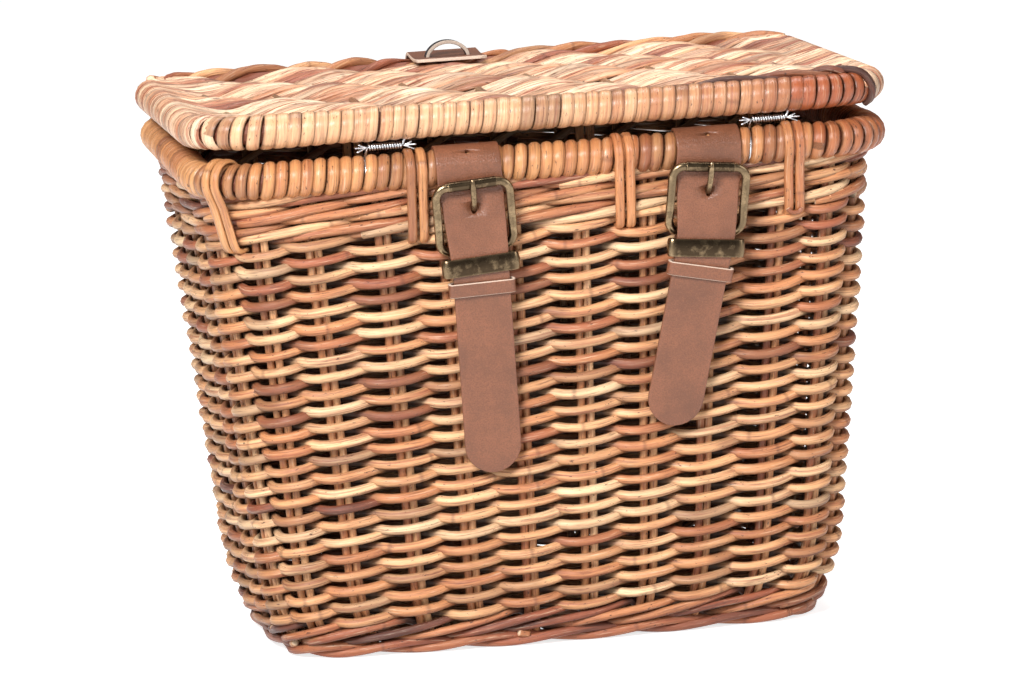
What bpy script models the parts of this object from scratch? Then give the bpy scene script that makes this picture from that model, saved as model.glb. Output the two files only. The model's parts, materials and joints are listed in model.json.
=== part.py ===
# Rectangular wicker basket with a hinged lid, two buckled leather straps and a leather lid latch.
# Origin at the bottom centre, +X along the basket's length, +Z up; the hinges and straps are on the -Y side.
import math

import bmesh
import bpy
from mathutils import Matrix, Vector

# Rim, measured along the middle of its rod: a thick rod hoop in a sleeve of wound cane
RIM_Z = 0.2381
RIM_HALF_WIDTH = 0.1615
RIM_HALF_DEPTH = 0.1275
RIM_CORNER = 0.0306
RIM_RADIUS = 0.0085
RIM_CORE_RADIUS = 0.0064
CANE_THICK = 0.0014
SLEEVE_LAP = 0.0040

# Basket body, measured along the middle of its wall, which hangs inside the rim and tapers to its base
WALL_INSET_ENDS = 0.0020
WALL_INSET_SIDES = 0.0023
WALL_CORNER_MORE = 0.0042
WALL_TAPER_ENDS = 0.0245
WALL_TAPER_SIDES = 0.0254
WALL_CORNER_TAPER = 0.0103
WALL_THICK = 0.0094
WALL_BOW_TOP = 0.0020
WALL_BOW_BASE = 0.0060
PINCH_DEPTH = 0.0104
PINCH_HEIGHT = 0.0440
BORDER_HEIGHT = 0.0180
BORDER_PROUD = 0.0010
TOP_WALING_HEIGHT = 0.0220

# Stake pairs, as shares of the half width and the half depth and as degrees from the long sides
# round the corners, and the rows that pass in front of every second one.
LONG_PAIRS = (-0.715, -0.50, -0.31, -0.105, 0.105, 0.31, 0.50, 0.715)
END_PAIRS = (-0.60, -0.20, 0.20, 0.60)
CORNER_PAIRS = (25.0, 70.0)
WEAVE_ROW = 0.00405
WEAVE_DENT = 0.0050

# Base panel and the sticks under it
BASE_PANEL_THICK = 0.0070
BASE_STICK_RADIUS = 0.0021
BASE_STICK_COUNT = 5

# Lid: a second hoop, its cane sleeves, the woven panel and the sticks under it
LID_OVERHANG_ENDS = 0.0022
LID_OVERHANG_SIDES = 0.0012
LID_CORNER_MORE = 0.0033
LID_RADIUS = 0.0078
LID_CORE_RADIUS = 0.0057
LID_GAP_FRONT = 0.0070
LID_GAP_BACK = 0.0028
LID_PANEL_BELOW = 0.0040
LID_PANEL_ABOVE = 0.0045
LID_PANEL_CROWN = 0.0040
LID_PANEL_DENT = 0.0056
LID_BAND_COUNT = 5
LID_BAND_STEP = 0.0020
LID_STICK_RADIUS = 0.0018
LID_STICK_COUNT = 10

# Cane lashings over the rim: each is two strands side by side
LASHING_STRAND = 0.0046
LASHING_THICK = 0.0020
LASHING_OUTER_DROP = 0.0240
LASHING_INNER_DROP = 0.0150
LASHING_BESIDE_STRAP = (-0.0245, -0.0405)
LASHING_BESIDE_HINGE = 0.0105
BACK_LASHING_SHARES = (-0.372, 0.372)

# Wire hinges: a link wire round the rim and the lid bar, and a coil wound on its middle
HINGE_SHARES = (-0.5855, 0.8359)
HINGE_WIRE_RADIUS = 0.0007
HINGE_LOOP_CLEARANCE = 0.0005
HINGE_LOOP_STEP = 0.0026
HINGE_MIDDLE_SHARE = 0.56
COIL_LENGTH = 0.0160
COIL_TURNS = 10
COIL_TURN_POINTS = 9
COIL_WIRE_RADIUS = 0.0005
COIL_CLEARANCE = 0.0004

# Leather straps: across the rim, through the buckle and back through the wall
STRAP_BESIDE_HINGE = (0.0380, -0.0310)
STRAP_TOP_WIDTH = 0.0310
STRAP_NARROWING = 0.0040
STRAP_THICK = 0.0018
STRAP_TAIL_LENGTHS = (0.1090, 0.0930)
STRAP_BUCKLE_LEAN = (math.radians(4), math.radians(-5))
STRAP_TAIL_LEAN = (math.radians(2), math.radians(-12))
STRAP_TAIL_STANDOFF = 0.0035
STRAP_SLOT_DROP = 0.0100
STRAP_SLOT_CLEARANCE = 0.0006
AWL_HOLE_RADIUS = 0.0012
AWL_HOLE_DROP = 0.0030
PRONG_HOLE_WIDTH = 0.0032
PRONG_HOLE_HEIGHT = 0.0062
FOLD_NOTCH_WIDTH = 0.0056

# Buckles
BUCKLE_SIDE_PLAY = 0.00075
BUCKLE_BAR_RADIUS = 0.0015
BUCKLE_TALL = 0.0320
BUCKLE_TOP_CORNER = 0.0060
BUCKLE_HEEL_CORNER = 0.0032
BUCKLE_HEEL_DROP = 0.0391
ROLLER_RADIUS = 0.0026
ROLLER_WALL = 0.0007
PRONG_RADIUS = 0.0009
PRONG_HUB_CLEARANCE = 0.00025
METAL_KEEPER_TALL = 0.0085
METAL_KEEPER_THICK = 0.0010
METAL_KEEPER_DROP = 0.0030
LEATHER_KEEPER_TALL = 0.0065
LEATHER_KEEPER_THICK = 0.0016
LEATHER_KEEPER_DROP = 0.0035
KEEPER_CLEARANCE = 0.0005
# The prong's route from the back of its hub to its tip: share of the depth to the roller's front, and
# share of the buckle's height
PRONG_SHARES = ((0.02, 0.15), (0.16, 0.41), (0.31, 0.545), (0.66, 0.675), (0.86, 0.81), (0.945, 0.925),
                (0.995, 1.05))
PRONG_HOLE_SHARE = 0.61

# Lid latch at the back: a leather tab on the lid, its hanging flap, a pull loop and a stud on the wall
LATCH_SHARE = -0.0619
LATCH_WIDTH = 0.0360
LATCH_THICK = 0.0018
LATCH_TAB_LENGTH = 0.0260
LATCH_FLAP_LENGTH = 0.0540
LATCH_LOOP_WIDTH = 0.0200
LATCH_LOOP_HEIGHT = 0.0078
LATCH_LOOP_DEPTH = 0.0060
LATCH_LOOP_THICK = 0.0014
LATCH_HOLE_RADIUS = 0.0040
LATCH_BEND_SHARE = 0.25
LATCH_LOOP_PLACE_SHARE = 0.45
LATCH_ROUND_SHARE = 0.72
LATCH_END_SHARE = 0.3
LATCH_HOLE_DROP = 0.0420
STUD_BASE_RADIUS = 0.0050
STUD_NECK_RADIUS = 0.0018
STUD_HEAD_RADIUS = 0.0032
STUD_HEIGHT = 0.0046
# The stud's outline from its plate to its head: radius, and share of the stud's height
STUD_SHARES = ((STUD_BASE_RADIUS, 0.0), (STUD_BASE_RADIUS, 0.2), (STUD_NECK_RADIUS, 0.28),
               (STUD_NECK_RADIUS, 0.55), (STUD_HEAD_RADIUS, 0.7), (STUD_HEAD_RADIUS * 0.8, 0.93),
               (STUD_HEAD_RADIUS * 0.35, 1.0))

# Clearances and mesh detail
GAP = 0.0003
SEAT_GAP = 0.0004
CUT_OVERRUN = 0.0020
CORNER_STEPS = 5
SIDE_STEPS = 4
TUBE_RESOLUTION = 3
WIRE_RESOLUTION = 1

WALL_HALF_WIDTH_TOP = RIM_HALF_WIDTH - WALL_INSET_ENDS
WALL_HALF_WIDTH_BASE = WALL_HALF_WIDTH_TOP - WALL_TAPER_ENDS
WALL_HALF_DEPTH_TOP = RIM_HALF_DEPTH - WALL_INSET_SIDES
WALL_HALF_DEPTH_BASE = WALL_HALF_DEPTH_TOP - WALL_TAPER_SIDES
WALL_CORNER_TOP = RIM_CORNER + WALL_CORNER_MORE
WALL_CORNER_BASE = WALL_CORNER_TOP - WALL_CORNER_TAPER
LID_HALF_WIDTH = RIM_HALF_WIDTH + LID_OVERHANG_ENDS
LID_HALF_DEPTH = RIM_HALF_DEPTH + LID_OVERHANG_SIDES
LID_CORNER = RIM_CORNER + LID_CORNER_MORE
BACK_LASHING_X = [share * RIM_HALF_WIDTH for share in BACK_LASHING_SHARES]
LATCH_X = LATCH_SHARE * RIM_HALF_WIDTH
HINGE_X = [share * (LID_HALF_WIDTH - LID_CORNER) for share in HINGE_SHARES]
STRAP_X = [x + offset for x, offset in zip(HINGE_X, STRAP_BESIDE_HINGE)]
BUCKLE_HEEL_Z = RIM_Z - BUCKLE_HEEL_DROP
STRAP_SLOT_Z = BUCKLE_HEEL_Z - STRAP_SLOT_DROP
STRAP_TAIL_END_Z = [BUCKLE_HEEL_Z - length for length in STRAP_TAIL_LENGTHS]
FRONT_LASHING_X = [x + offset for x, offset in zip(STRAP_X, LASHING_BESIDE_STRAP)]
FRONT_LASHING_X.append(HINGE_X[1] + LASHING_BESIDE_HINGE)
STRAP_TAIL_WIDTH = STRAP_TOP_WIDTH - STRAP_NARROWING
BUCKLE_WIDTH = STRAP_TOP_WIDTH + 2 * BUCKLE_SIDE_PLAY + 4 * BUCKLE_BAR_RADIUS
ROLLER_LENGTH = BUCKLE_WIDTH - 2 * (BUCKLE_TOP_CORNER + BUCKLE_BAR_RADIUS)
LID_Z = RIM_Z + RIM_RADIUS + LID_GAP_FRONT + LID_RADIUS
LID_BACK_Z = RIM_Z + RIM_RADIUS + LID_GAP_BACK + LID_RADIUS
LID_TILT = -math.asin((LID_Z - LID_BACK_Z) / (2 * LID_HALF_DEPTH))
WALL_TOP_Z = RIM_Z - RIM_RADIUS - GAP
WALING_Z = WALL_TOP_Z - TOP_WALING_HEIGHT


def clear_scene():
    for item in list(bpy.data.objects):
        bpy.data.objects.remove(item, do_unlink=True)


def material(name, colour, roughness, metallic=0.0):
    shade = bpy.data.materials.new(name)
    shade.use_nodes = True
    shader = shade.node_tree.nodes["Principled BSDF"]
    shader.inputs["Base Color"].default_value = (*colour, 1.0)
    shader.inputs["Roughness"].default_value = roughness
    shader.inputs["Metallic"].default_value = metallic
    shade.diffuse_color = (*colour, 1.0)
    return shade


def wicker(name, colour=(0.42, 0.22, 0.10)):
    return material(name + "_finish", colour, 0.5)


def cane(name, colour=(0.58, 0.31, 0.13)):
    return material(name + "_finish", colour, 0.38)


def leather(name, colour=(0.33, 0.17, 0.10)):
    return material(name + "_finish", colour, 0.6)


def metal(name, colour, roughness):
    return material(name + "_finish", colour, roughness, 1.0)


def place(name, data, finish, parent=None):
    item = bpy.data.objects.new(name, data)
    bpy.context.scene.collection.objects.link(item)
    data.materials.append(finish)
    if parent is not None:
        item.parent = parent
    return item


def guide(name, location, rotation=(0, 0, 0), parent=None):
    """An empty that marks a joint's axis and carries what turns on it."""
    item = bpy.data.objects.new(name, None)
    bpy.context.scene.collection.objects.link(item)
    item.location = location
    item.rotation_euler = rotation
    item.parent = parent
    return item


def mesh_from_rings(name, rings, closed_path=False, dents=()):
    """Skin equal rings of points into one closed mesh; the ends are capped unless the path closes.

    A face with a dented corner, given as (ring, point), is folded from that corner.
    """
    bm = bmesh.new()
    rows = [[bm.verts.new(point) for point in ring] for ring in rings]
    count = len(rows[0])
    for ring in range(len(rows) if closed_path else len(rows) - 1):
        after = (ring + 1) % len(rows)
        near, far = rows[ring], rows[after]
        for i in range(count):
            j = (i + 1) % count
            if (ring, i) in dents or (after, j) in dents:
                bm.faces.new((near[i], near[j], far[j]))
                bm.faces.new((near[i], far[j], far[i]))
            elif (ring, j) in dents or (after, i) in dents:
                bm.faces.new((near[i], near[j], far[i]))
                bm.faces.new((near[j], far[j], far[i]))
            else:
                bm.faces.new((near[i], near[j], far[j], far[i]))
    if not closed_path:
        bm.faces.new(rows[0])
        bm.faces.new(reversed(rows[-1]))
    bmesh.ops.recalc_face_normals(bm, faces=bm.faces)
    mesh = bpy.data.meshes.new(name)
    bm.to_mesh(mesh)
    bm.free()
    mesh.shade_smooth()
    mesh.set_sharp_from_angle(angle=math.radians(40))
    return mesh


def tube_curve(name, points, radius, closed=False, resolution=TUBE_RESOLUTION, caps=True):
    curve = bpy.data.curves.new(name, "CURVE")
    curve.dimensions = "3D"
    curve.bevel_depth = radius
    curve.bevel_resolution = resolution
    curve.use_fill_caps = caps and not closed
    spline = curve.splines.new("POLY")
    spline.points.add(len(points) - 1)
    for slot, point in zip(spline.points, points):
        slot.co = (*point, 1.0)
    spline.use_cyclic_u = closed
    spline.use_smooth = True
    return curve


def cut(item, cutter):
    """Take a hidden cutter out of a piece."""
    cutter.hide_render = True
    cutter.display_type = "WIRE"
    step = item.modifiers.new("cut_" + cutter.name, "BOOLEAN")
    step.operation = "DIFFERENCE"
    step.solver = "EXACT"
    step.object = cutter


def box_cutter(name, size, matrix):
    bm = bmesh.new()
    bmesh.ops.create_cube(bm, size=1.0, matrix=matrix @ Matrix.Diagonal((*size, 1.0)))
    mesh = bpy.data.meshes.new(name)
    bm.to_mesh(mesh)
    bm.free()
    item = bpy.data.objects.new(name, mesh)
    bpy.context.scene.collection.objects.link(item)
    return item


def rod_cutter(name, radius, length, matrix, segments=12):
    bm = bmesh.new()
    bmesh.ops.create_cone(bm, cap_ends=True, segments=segments, radius1=radius, radius2=radius,
                          depth=length, matrix=matrix)
    mesh = bpy.data.meshes.new(name)
    bm.to_mesh(mesh)
    bm.free()
    item = bpy.data.objects.new(name, mesh)
    bpy.context.scene.collection.objects.link(item)
    return item


def lerp(low, high, share):
    return low + (high - low) * share


def fall(z):
    """0 at the rim and 1 at the floor."""
    return min(max(1 - z / RIM_Z, 0), 1)


def pinch(z):
    return PINCH_DEPTH * max(0, 1 - z / PINCH_HEIGHT) ** 2


def half_width(z):
    return lerp(WALL_HALF_WIDTH_TOP, WALL_HALF_WIDTH_BASE, fall(z)) - pinch(z)


def half_depth(z):
    return lerp(WALL_HALF_DEPTH_TOP, WALL_HALF_DEPTH_BASE, fall(z)) - pinch(z)


def corner_radius(z):
    return lerp(WALL_CORNER_TOP, WALL_CORNER_BASE, fall(z))


def bow(z):
    return lerp(WALL_BOW_TOP, WALL_BOW_BASE, fall(z))


def corner_arc(width, depth, radius, index, z, steps):
    """One corner of a rounded rectangle; 0 is the front right one, and they go anticlockwise."""
    sx, sy = ((1, -1), (1, 1), (-1, 1), (-1, -1))[index]
    centre = Vector((sx * (width - radius), sy * (depth - radius), z))
    arc = []
    for i in range(steps + 1):
        angle = math.radians(90 * (index - 1 + i / steps))
        arc.append(centre + Vector((radius * math.cos(angle), radius * math.sin(angle), 0)))
    return arc


def outline(width, depth, radius, swell=0.0, z=0.0, side_steps=1, corner_steps=CORNER_STEPS,
            front_radius=None):
    """Rounded rectangle, anticlockwise from the front right corner, its sides bowed out by swell."""
    front = radius if front_radius is None else front_radius
    radii = (front, radius, radius, front)
    arcs = [corner_arc(width, depth, r, i, z, corner_steps) for i, r in enumerate(radii)]
    points = []
    for index, arc in enumerate(arcs):
        points += arc
        begin = arc[-1]
        end = arcs[(index + 1) % 4][0]
        angle = math.radians(90 * index)
        outward = Vector((math.cos(angle), math.sin(angle), 0))
        for i in range(1, side_steps):
            t = i / side_steps
            points.append(begin.lerp(end, t) + outward * swell * (1 - (2 * t - 1) ** 2))
    return points


def wall_slice(z, offset):
    """The wall's outline at height z, moved out by offset from its middle."""
    return outline(half_width(z) + offset, half_depth(z) + offset, corner_radius(z) + offset,
                   bow(z), z, SIDE_STEPS)


def wall_ring(name, heights, finish, proud=0.0):
    """One band of the wall, as a hollow ring of the wall's thickness."""
    outer = [wall_slice(z, WALL_THICK / 2 + proud) for z in heights]
    inner = [wall_slice(z, -WALL_THICK / 2) for z in reversed(heights)]
    return place(name, mesh_from_rings(name, outer + inner, closed_path=True), finish)


def spread(low, high, count):
    return [lerp(low, high, i / (count - 1)) for i in range(count)]


def weave_columns():
    """Round the wall from the front right corner: (corner or side, its number, place, station or None).

    A column with a station stands on a stake pair; the others round the corners off.
    """
    columns = []
    station = 0
    for index in range(4):
        near, far = CORNER_PAIRS
        first, second = (near, far) if index % 2 == 0 else (90 - far, 90 - near)
        columns.append(("corner", index, 0.0, None))
        columns.append(("corner", index, first, station))
        columns.append(("corner", index, (first + second) / 2, None))
        columns.append(("corner", index, second, station + 1))
        columns.append(("corner", index, 90.0, None))
        station += 2
        for share in END_PAIRS if index % 2 == 0 else LONG_PAIRS:
            columns.append(("side", index, share, station))
            station += 1
    return columns


def column_point(column, z, offset):
    """The wall at height z on one of its columns, moved out by offset from its middle."""
    kind, index, value, _ = column
    width = half_width(z)
    depth = half_depth(z)
    radius = corner_radius(z)
    if kind == "corner":
        sx, sy = ((1, -1), (1, 1), (-1, 1), (-1, -1))[index]
        angle = math.radians(90 * (index - 1) + value)
        reach = radius + offset
        x = sx * (width - radius) + reach * math.cos(angle)
        return Vector((x, sy * (depth - radius) + reach * math.sin(angle), z))
    half, far = (depth, width) if index % 2 == 0 else (width, depth)
    along = value * half
    swell = bow(z) * (1 - (along / (half - radius)) ** 2)
    angle = math.radians(90 * index)
    outward = Vector((math.cos(angle), math.sin(angle), 0))
    across = Vector((-outward.y, outward.x, 0))
    return outward * (far + swell + offset) + across * along + Vector((0, 0, z))


def woven_ring(name, low, high, inner_heights, finish):
    """The woven wall: every second stake pair of a row is crossed in front, and lies open in the next."""
    columns = weave_columns()
    face = WALL_THICK / 2
    rows = int((high + GAP - low) / WEAVE_ROW)
    outer = [[column_point(column, low, face) for column in columns]]
    dents = set()
    for row in range(rows):
        z = low + (row + 0.5) * WEAVE_ROW
        ring = []
        for i, column in enumerate(columns):
            station = column[3]
            share = 0.5 if station is None else (station + row) % 2
            if share == 1:
                dents.add((row + 1, i))
            ring.append(column_point(column, z, face - WEAVE_DENT * share))
        outer.append(ring)
    outer.append([column_point(column, high, face) for column in columns])
    inner = [[column_point(column, z, -face) for column in columns] for z in reversed(inner_heights)]
    mesh = mesh_from_rings(name, outer + inner, True, dents)
    return place(name, mesh, finish)


def build_body():
    finish = wicker("base_border", (0.40, 0.22, 0.11))
    wall_ring("base_border", spread(0, BORDER_HEIGHT, 4), finish, BORDER_PROUD)
    low = BORDER_HEIGHT + GAP
    high = WALING_Z - GAP
    heights = spread(low, PINCH_HEIGHT, 4) + spread(PINCH_HEIGHT, high, 4)[1:]
    weave = woven_ring("side_weave", low, high, heights, wicker("side_weave"))
    finish = wicker("top_waling", (0.46, 0.24, 0.11))
    waling = wall_ring("top_waling", spread(WALING_Z, WALL_TOP_Z, 3), finish)
    build_base_panel()
    return weave, waling


def build_base_panel():
    top = BORDER_HEIGHT - GAP
    bottom = top - BASE_PANEL_THICK
    inset = WALL_THICK / 2 + GAP
    rings = [wall_slice(z, -inset) for z in (bottom, top)]
    for ring, z in zip(rings, (bottom, top)):
        low_ring = wall_slice(bottom, -inset)
        for point, low in zip(ring, low_ring):
            point.x, point.y, point.z = low.x, low.y, z
    place("base_weave", mesh_from_rings("base_weave", rings), wicker("base_weave", (0.38, 0.2, 0.1)))
    stick_z = bottom - GAP - BASE_STICK_RADIUS
    reach = half_depth(stick_z - BASE_STICK_RADIUS) - inset - GAP
    for i in range(BASE_STICK_COUNT):
        share = (i - (BASE_STICK_COUNT - 1) / 2) / BASE_STICK_COUNT
        x = share * 2 * half_width(stick_z)
        name = f"base_stick_{i + 1}"
        ends = [Vector((x, -reach, stick_z)), Vector((x, reach, stick_z))]
        place(name, tube_curve(name, ends, BASE_STICK_RADIUS, resolution=2), wicker(name))


def hoop_points(width, depth, radius, z=0.0):
    return outline(width, depth, radius, 0.0, z)


def sleeve_route(side, width, depth, radius):
    """Front and back sleeves turn round both their corners; the side ones fill what is left between."""
    arcs = [corner_arc(width, depth, radius, index, 0, CORNER_STEPS) for index in range(4)]
    lap = Vector((0, SLEEVE_LAP, 0))
    if side == "front":
        return [arcs[3][0] + lap] + arcs[3] + arcs[0] + [arcs[0][-1] + lap]
    if side == "back":
        return [arcs[1][0] - lap] + arcs[1] + arcs[2] + [arcs[2][-1] - lap]
    sign = 1 if side == "right" else -1
    reach = depth - radius - SLEEVE_LAP - GAP
    return [Vector((sign * width, -reach, 0)), Vector((sign * width, reach, 0))]


def cane_sleeve(name, route, radius, finish, parent=None):
    """Cane wound round a hoop, as an open-ended sleeve of the cane's thickness."""
    item = place(name, tube_curve(name, route, radius, caps=False), finish, parent)
    wall = item.modifiers.new("cane_wall", "SOLIDIFY")
    wall.thickness = CANE_THICK
    wall.offset = -1
    wall.use_even_offset = True
    return item


def build_rim():
    carrier = guide("rim_level", (0, 0, RIM_Z))
    route = hoop_points(RIM_HALF_WIDTH, RIM_HALF_DEPTH, RIM_CORNER)
    place("rim_hoop", tube_curve("rim_hoop", route, RIM_CORE_RADIUS, True), wicker("rim_hoop"), carrier)
    for side in ("front", "back", "left", "right"):
        name = "rim_wrap_" + side
        route = sleeve_route(side, RIM_HALF_WIDTH, RIM_HALF_DEPTH, RIM_CORNER)
        cane_sleeve(name, route, RIM_RADIUS, cane(name), carrier)


def build_lid():
    pivot = guide("lid_pivot", (0, -LID_HALF_DEPTH, LID_Z), (LID_TILT, 0, 0))
    forward = Vector((0, LID_HALF_DEPTH, 0))
    route = [point + forward for point in hoop_points(LID_HALF_WIDTH, LID_HALF_DEPTH, LID_CORNER)]
    place("lid_hoop", tube_curve("lid_hoop", route, LID_CORE_RADIUS, True), wicker("lid_hoop"), pivot)
    for side in ("front", "back", "left", "right"):
        name = "lid_wrap_" + side
        sleeve = sleeve_route(side, LID_HALF_WIDTH, LID_HALF_DEPTH, LID_CORNER)
        route = [point + forward for point in sleeve]
        cane_sleeve(name, route, LID_RADIUS, cane(name, (0.6, 0.34, 0.15)), pivot)
    panel = build_lid_panel(pivot)
    build_lid_sticks(pivot)
    return pivot, panel


def crown(x, y, width, depth):
    return LID_PANEL_CROWN * max(0, 1 - (x / width) ** 2) * max(0, 1 - (y / depth) ** 2)


def panel_rows(depth, radius):
    """Where the panel's rows of points lie, from front to back, each with the band that it belongs to."""
    rows = [(-depth, 0), (depth, LID_BAND_COUNT - 1)]
    for degrees in (0, 30, 60):
        y = depth - radius * (1 - math.sin(math.radians(degrees)))
        rows += [(-y, 0), (y, LID_BAND_COUNT - 1)]
    for band in range(1, LID_BAND_COUNT):
        edge = lerp(-depth, depth, band / LID_BAND_COUNT)
        rows += [(edge - LID_BAND_STEP, band - 1), (edge + LID_BAND_STEP, band)]
    return sorted(rows)


def build_lid_panel(pivot):
    """The woven panel inside the lid's hoop: flat below, and in bands above that dip between their humps."""
    inset = LID_RADIUS + GAP
    width = LID_HALF_WIDTH - inset
    depth = LID_HALF_DEPTH - inset
    radius = LID_CORNER - inset
    pitch = 2 * (LID_HALF_WIDTH - LID_RADIUS) / LID_STICK_COUNT
    steps = range(2 * LID_STICK_COUNT - 1)
    places = [(-width, None)] + [((i / 2 - (LID_STICK_COUNT - 1) / 2) * pitch, i) for i in steps]
    places.append((width, None))
    bm = bmesh.new()
    grid = []
    for y, band in panel_rows(depth, radius):
        turn = max(0, abs(y) - depth + radius)
        reach = width - radius + math.sqrt(max(0, radius ** 2 - turn ** 2))
        row = []
        for x, step in places:
            inside = 0 if step is None else min(max(0, (reach - abs(x)) / LID_RADIUS), 1)
            dent = inside and inside * (1 - math.cos(math.pi * (step / 2 + band))) / 2
            x = min(max(x, -reach), reach)
            top = LID_PANEL_ABOVE + crown(x, y, width, depth) - LID_PANEL_DENT * dent
            row.append(bm.verts.new((x, y + LID_HALF_DEPTH, top)))
        grid.append(row)
    for near, far in zip(grid, grid[1:]):
        for i in range(len(near) - 1):
            bm.faces.new((near[i], near[i + 1], far[i + 1], far[i]))
    bmesh.ops.remove_doubles(bm, verts=bm.verts, dist=GAP)
    rim = [edge for edge in bm.edges if edge.is_boundary]
    lower = bmesh.ops.extrude_edge_only(bm, edges=rim)["geom"]
    for vert in lower:
        if isinstance(vert, bmesh.types.BMVert):
            vert.co.z = -LID_PANEL_BELOW
    floor = bmesh.ops.holes_fill(bm, edges=[edge for edge in bm.edges if edge.is_boundary], sides=0)
    bmesh.ops.poke(bm, faces=floor["faces"])
    bmesh.ops.triangulate(bm, faces=bm.faces)
    bmesh.ops.recalc_face_normals(bm, faces=bm.faces)
    mesh = bpy.data.meshes.new("lid_weave")
    bm.to_mesh(mesh)
    bm.free()
    mesh.shade_smooth()
    mesh.set_sharp_from_angle(angle=math.radians(40))
    return place("lid_weave", mesh, wicker("lid_weave", (0.6, 0.38, 0.19)), pivot)


def build_lid_sticks(pivot):
    z = -LID_PANEL_BELOW - GAP - LID_STICK_RADIUS
    inset = math.sqrt((LID_RADIUS + GAP) ** 2 - (z + LID_STICK_RADIUS) ** 2) + GAP
    for i in range(LID_STICK_COUNT):
        share = (i - (LID_STICK_COUNT - 1) / 2) / LID_STICK_COUNT
        x = share * 2 * (LID_HALF_WIDTH - LID_RADIUS)
        name = f"lid_stick_{i + 1}"
        turn = max(0, abs(x) + LID_STICK_RADIUS - (LID_HALF_WIDTH - LID_CORNER))
        start = LID_CORNER - math.sqrt((LID_CORNER - inset) ** 2 - turn ** 2)
        ends = [Vector((x, start, z)), Vector((x, 2 * LID_HALF_DEPTH - start, z))]
        place(name, tube_curve(name, ends, LID_STICK_RADIUS, resolution=2), wicker(name), pivot)


def sweep(name, stations, section, to_world):
    """Skin a flat section, in (across, thick) points, along a route in the upright plane.

    A station is (out, up, share of the width, sideways shift, rise per unit of width).
    """
    rings = []
    for i, (out, up, share, shift, tilt) in enumerate(stations):
        before = stations[max(i - 1, 0)]
        after = stations[min(i + 1, len(stations) - 1)]
        along = Vector((after[0] - before[0], after[1] - before[1])).normalized()
        normal = Vector((along.y, -along.x))
        ring = []
        for across, thick in section:
            wide = across * share
            level = up + normal.y * thick + wide * tilt
            ring.append(to_world(wide + shift, out + normal.x * thick, level))
        rings.append(ring)
    return mesh_from_rings(name, rings)


def wall_face(z, x=0.0, corner=False, outer=True):
    """How far the wall's face lies out from the rim's centre line, at x on a long side or at a corner."""
    half = WALL_THICK / 2 * (1 if outer else -1)
    if not corner:
        swell = bow(z) * max(0, 1 - (x / (half_width(z) - corner_radius(z))) ** 2)
        return half_depth(z) + swell + half - RIM_HALF_DEPTH
    diagonal = math.sqrt(0.5)
    radius = corner_radius(z)
    wall = (half_width(z) + half_depth(z) - 2 * radius) * diagonal + radius
    rim = (RIM_HALF_WIDTH + RIM_HALF_DEPTH - 2 * RIM_CORNER) * diagonal + RIM_CORNER
    return wall - rim + half


def lashing(name, centre, outward, corner):
    half = LASHING_THICK / 2
    across = Vector((-outward.y, outward.x, 0))
    low_z = RIM_Z - RIM_RADIUS - LASHING_OUTER_DROP
    mid_z = RIM_Z - RIM_RADIUS - LASHING_THICK * 2
    in_z = RIM_Z - RIM_RADIUS - LASHING_INNER_DROP
    sag = LASHING_STRAND ** 2 / (2 * (RIM_CORNER - RIM_RADIUS)) if corner else 0
    stand = half + SEAT_GAP
    x = centre.x
    stations = [(wall_face(low_z, x, corner) + stand, low_z), (wall_face(mid_z, x, corner) + stand, mid_z)]
    radius = RIM_RADIUS + SEAT_GAP + half + sag
    for degrees in (-30, 5, 40, 75, 105, 140, 165, 190):
        angle = math.radians(degrees)
        stations.append((radius * math.cos(angle), RIM_Z + radius * math.sin(angle)))
    for z in (mid_z, in_z):
        stations.append((wall_face(z, x, corner, False) - stand - sag - SEAT_GAP, z))
    stations = [(out, up, 1.0, 0.0, 0.0) for out, up in stations]
    s = LASHING_STRAND
    section = [(-s, 0), (-s / 2, -half), (0, -half / 2), (s / 2, -half), (s, 0), (s / 2, half),
               (0, half / 2), (-s / 2, half)]

    def to_world(u, n, z):
        return Vector((centre.x, centre.y, 0)) + across * u + outward * n + Vector((0, 0, z))

    place(name, sweep(name, stations, section, to_world), cane(name, (0.5, 0.26, 0.12)))


def build_lashings():
    diagonal = math.sqrt(0.5)
    inward = RIM_CORNER * (1 - diagonal)
    corner = Vector((RIM_HALF_WIDTH - inward, RIM_HALF_DEPTH - inward, 0))
    spots = [(Vector((x, -RIM_HALF_DEPTH, 0)), Vector((0, -1, 0)), False) for x in FRONT_LASHING_X]
    spots += [(Vector((x, RIM_HALF_DEPTH, 0)), Vector((0, 1, 0)), False) for x in BACK_LASHING_X]
    for sx, sy in ((-1, -1), (-1, 1), (1, 1)):
        outward = Vector((sx * diagonal, sy * diagonal, 0))
        spots.append((Vector((sx * corner.x, sy * corner.y, 0)), outward, True))
    for i, (centre, outward, at_corner) in enumerate(spots):
        lashing(f"rim_lashing_{i + 1}", centre, outward, at_corner)


def loop_points(centre_y, centre_z, radius, start, sweep_degrees, x_from, x_to, steps=18):
    points = []
    for i in range(steps + 1):
        angle = math.radians(start + sweep_degrees * i / steps)
        x = lerp(x_from, x_to, i / steps)
        points.append(Vector((x, centre_y + radius * math.cos(angle), centre_z + radius * math.sin(angle))))
    return points


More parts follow.
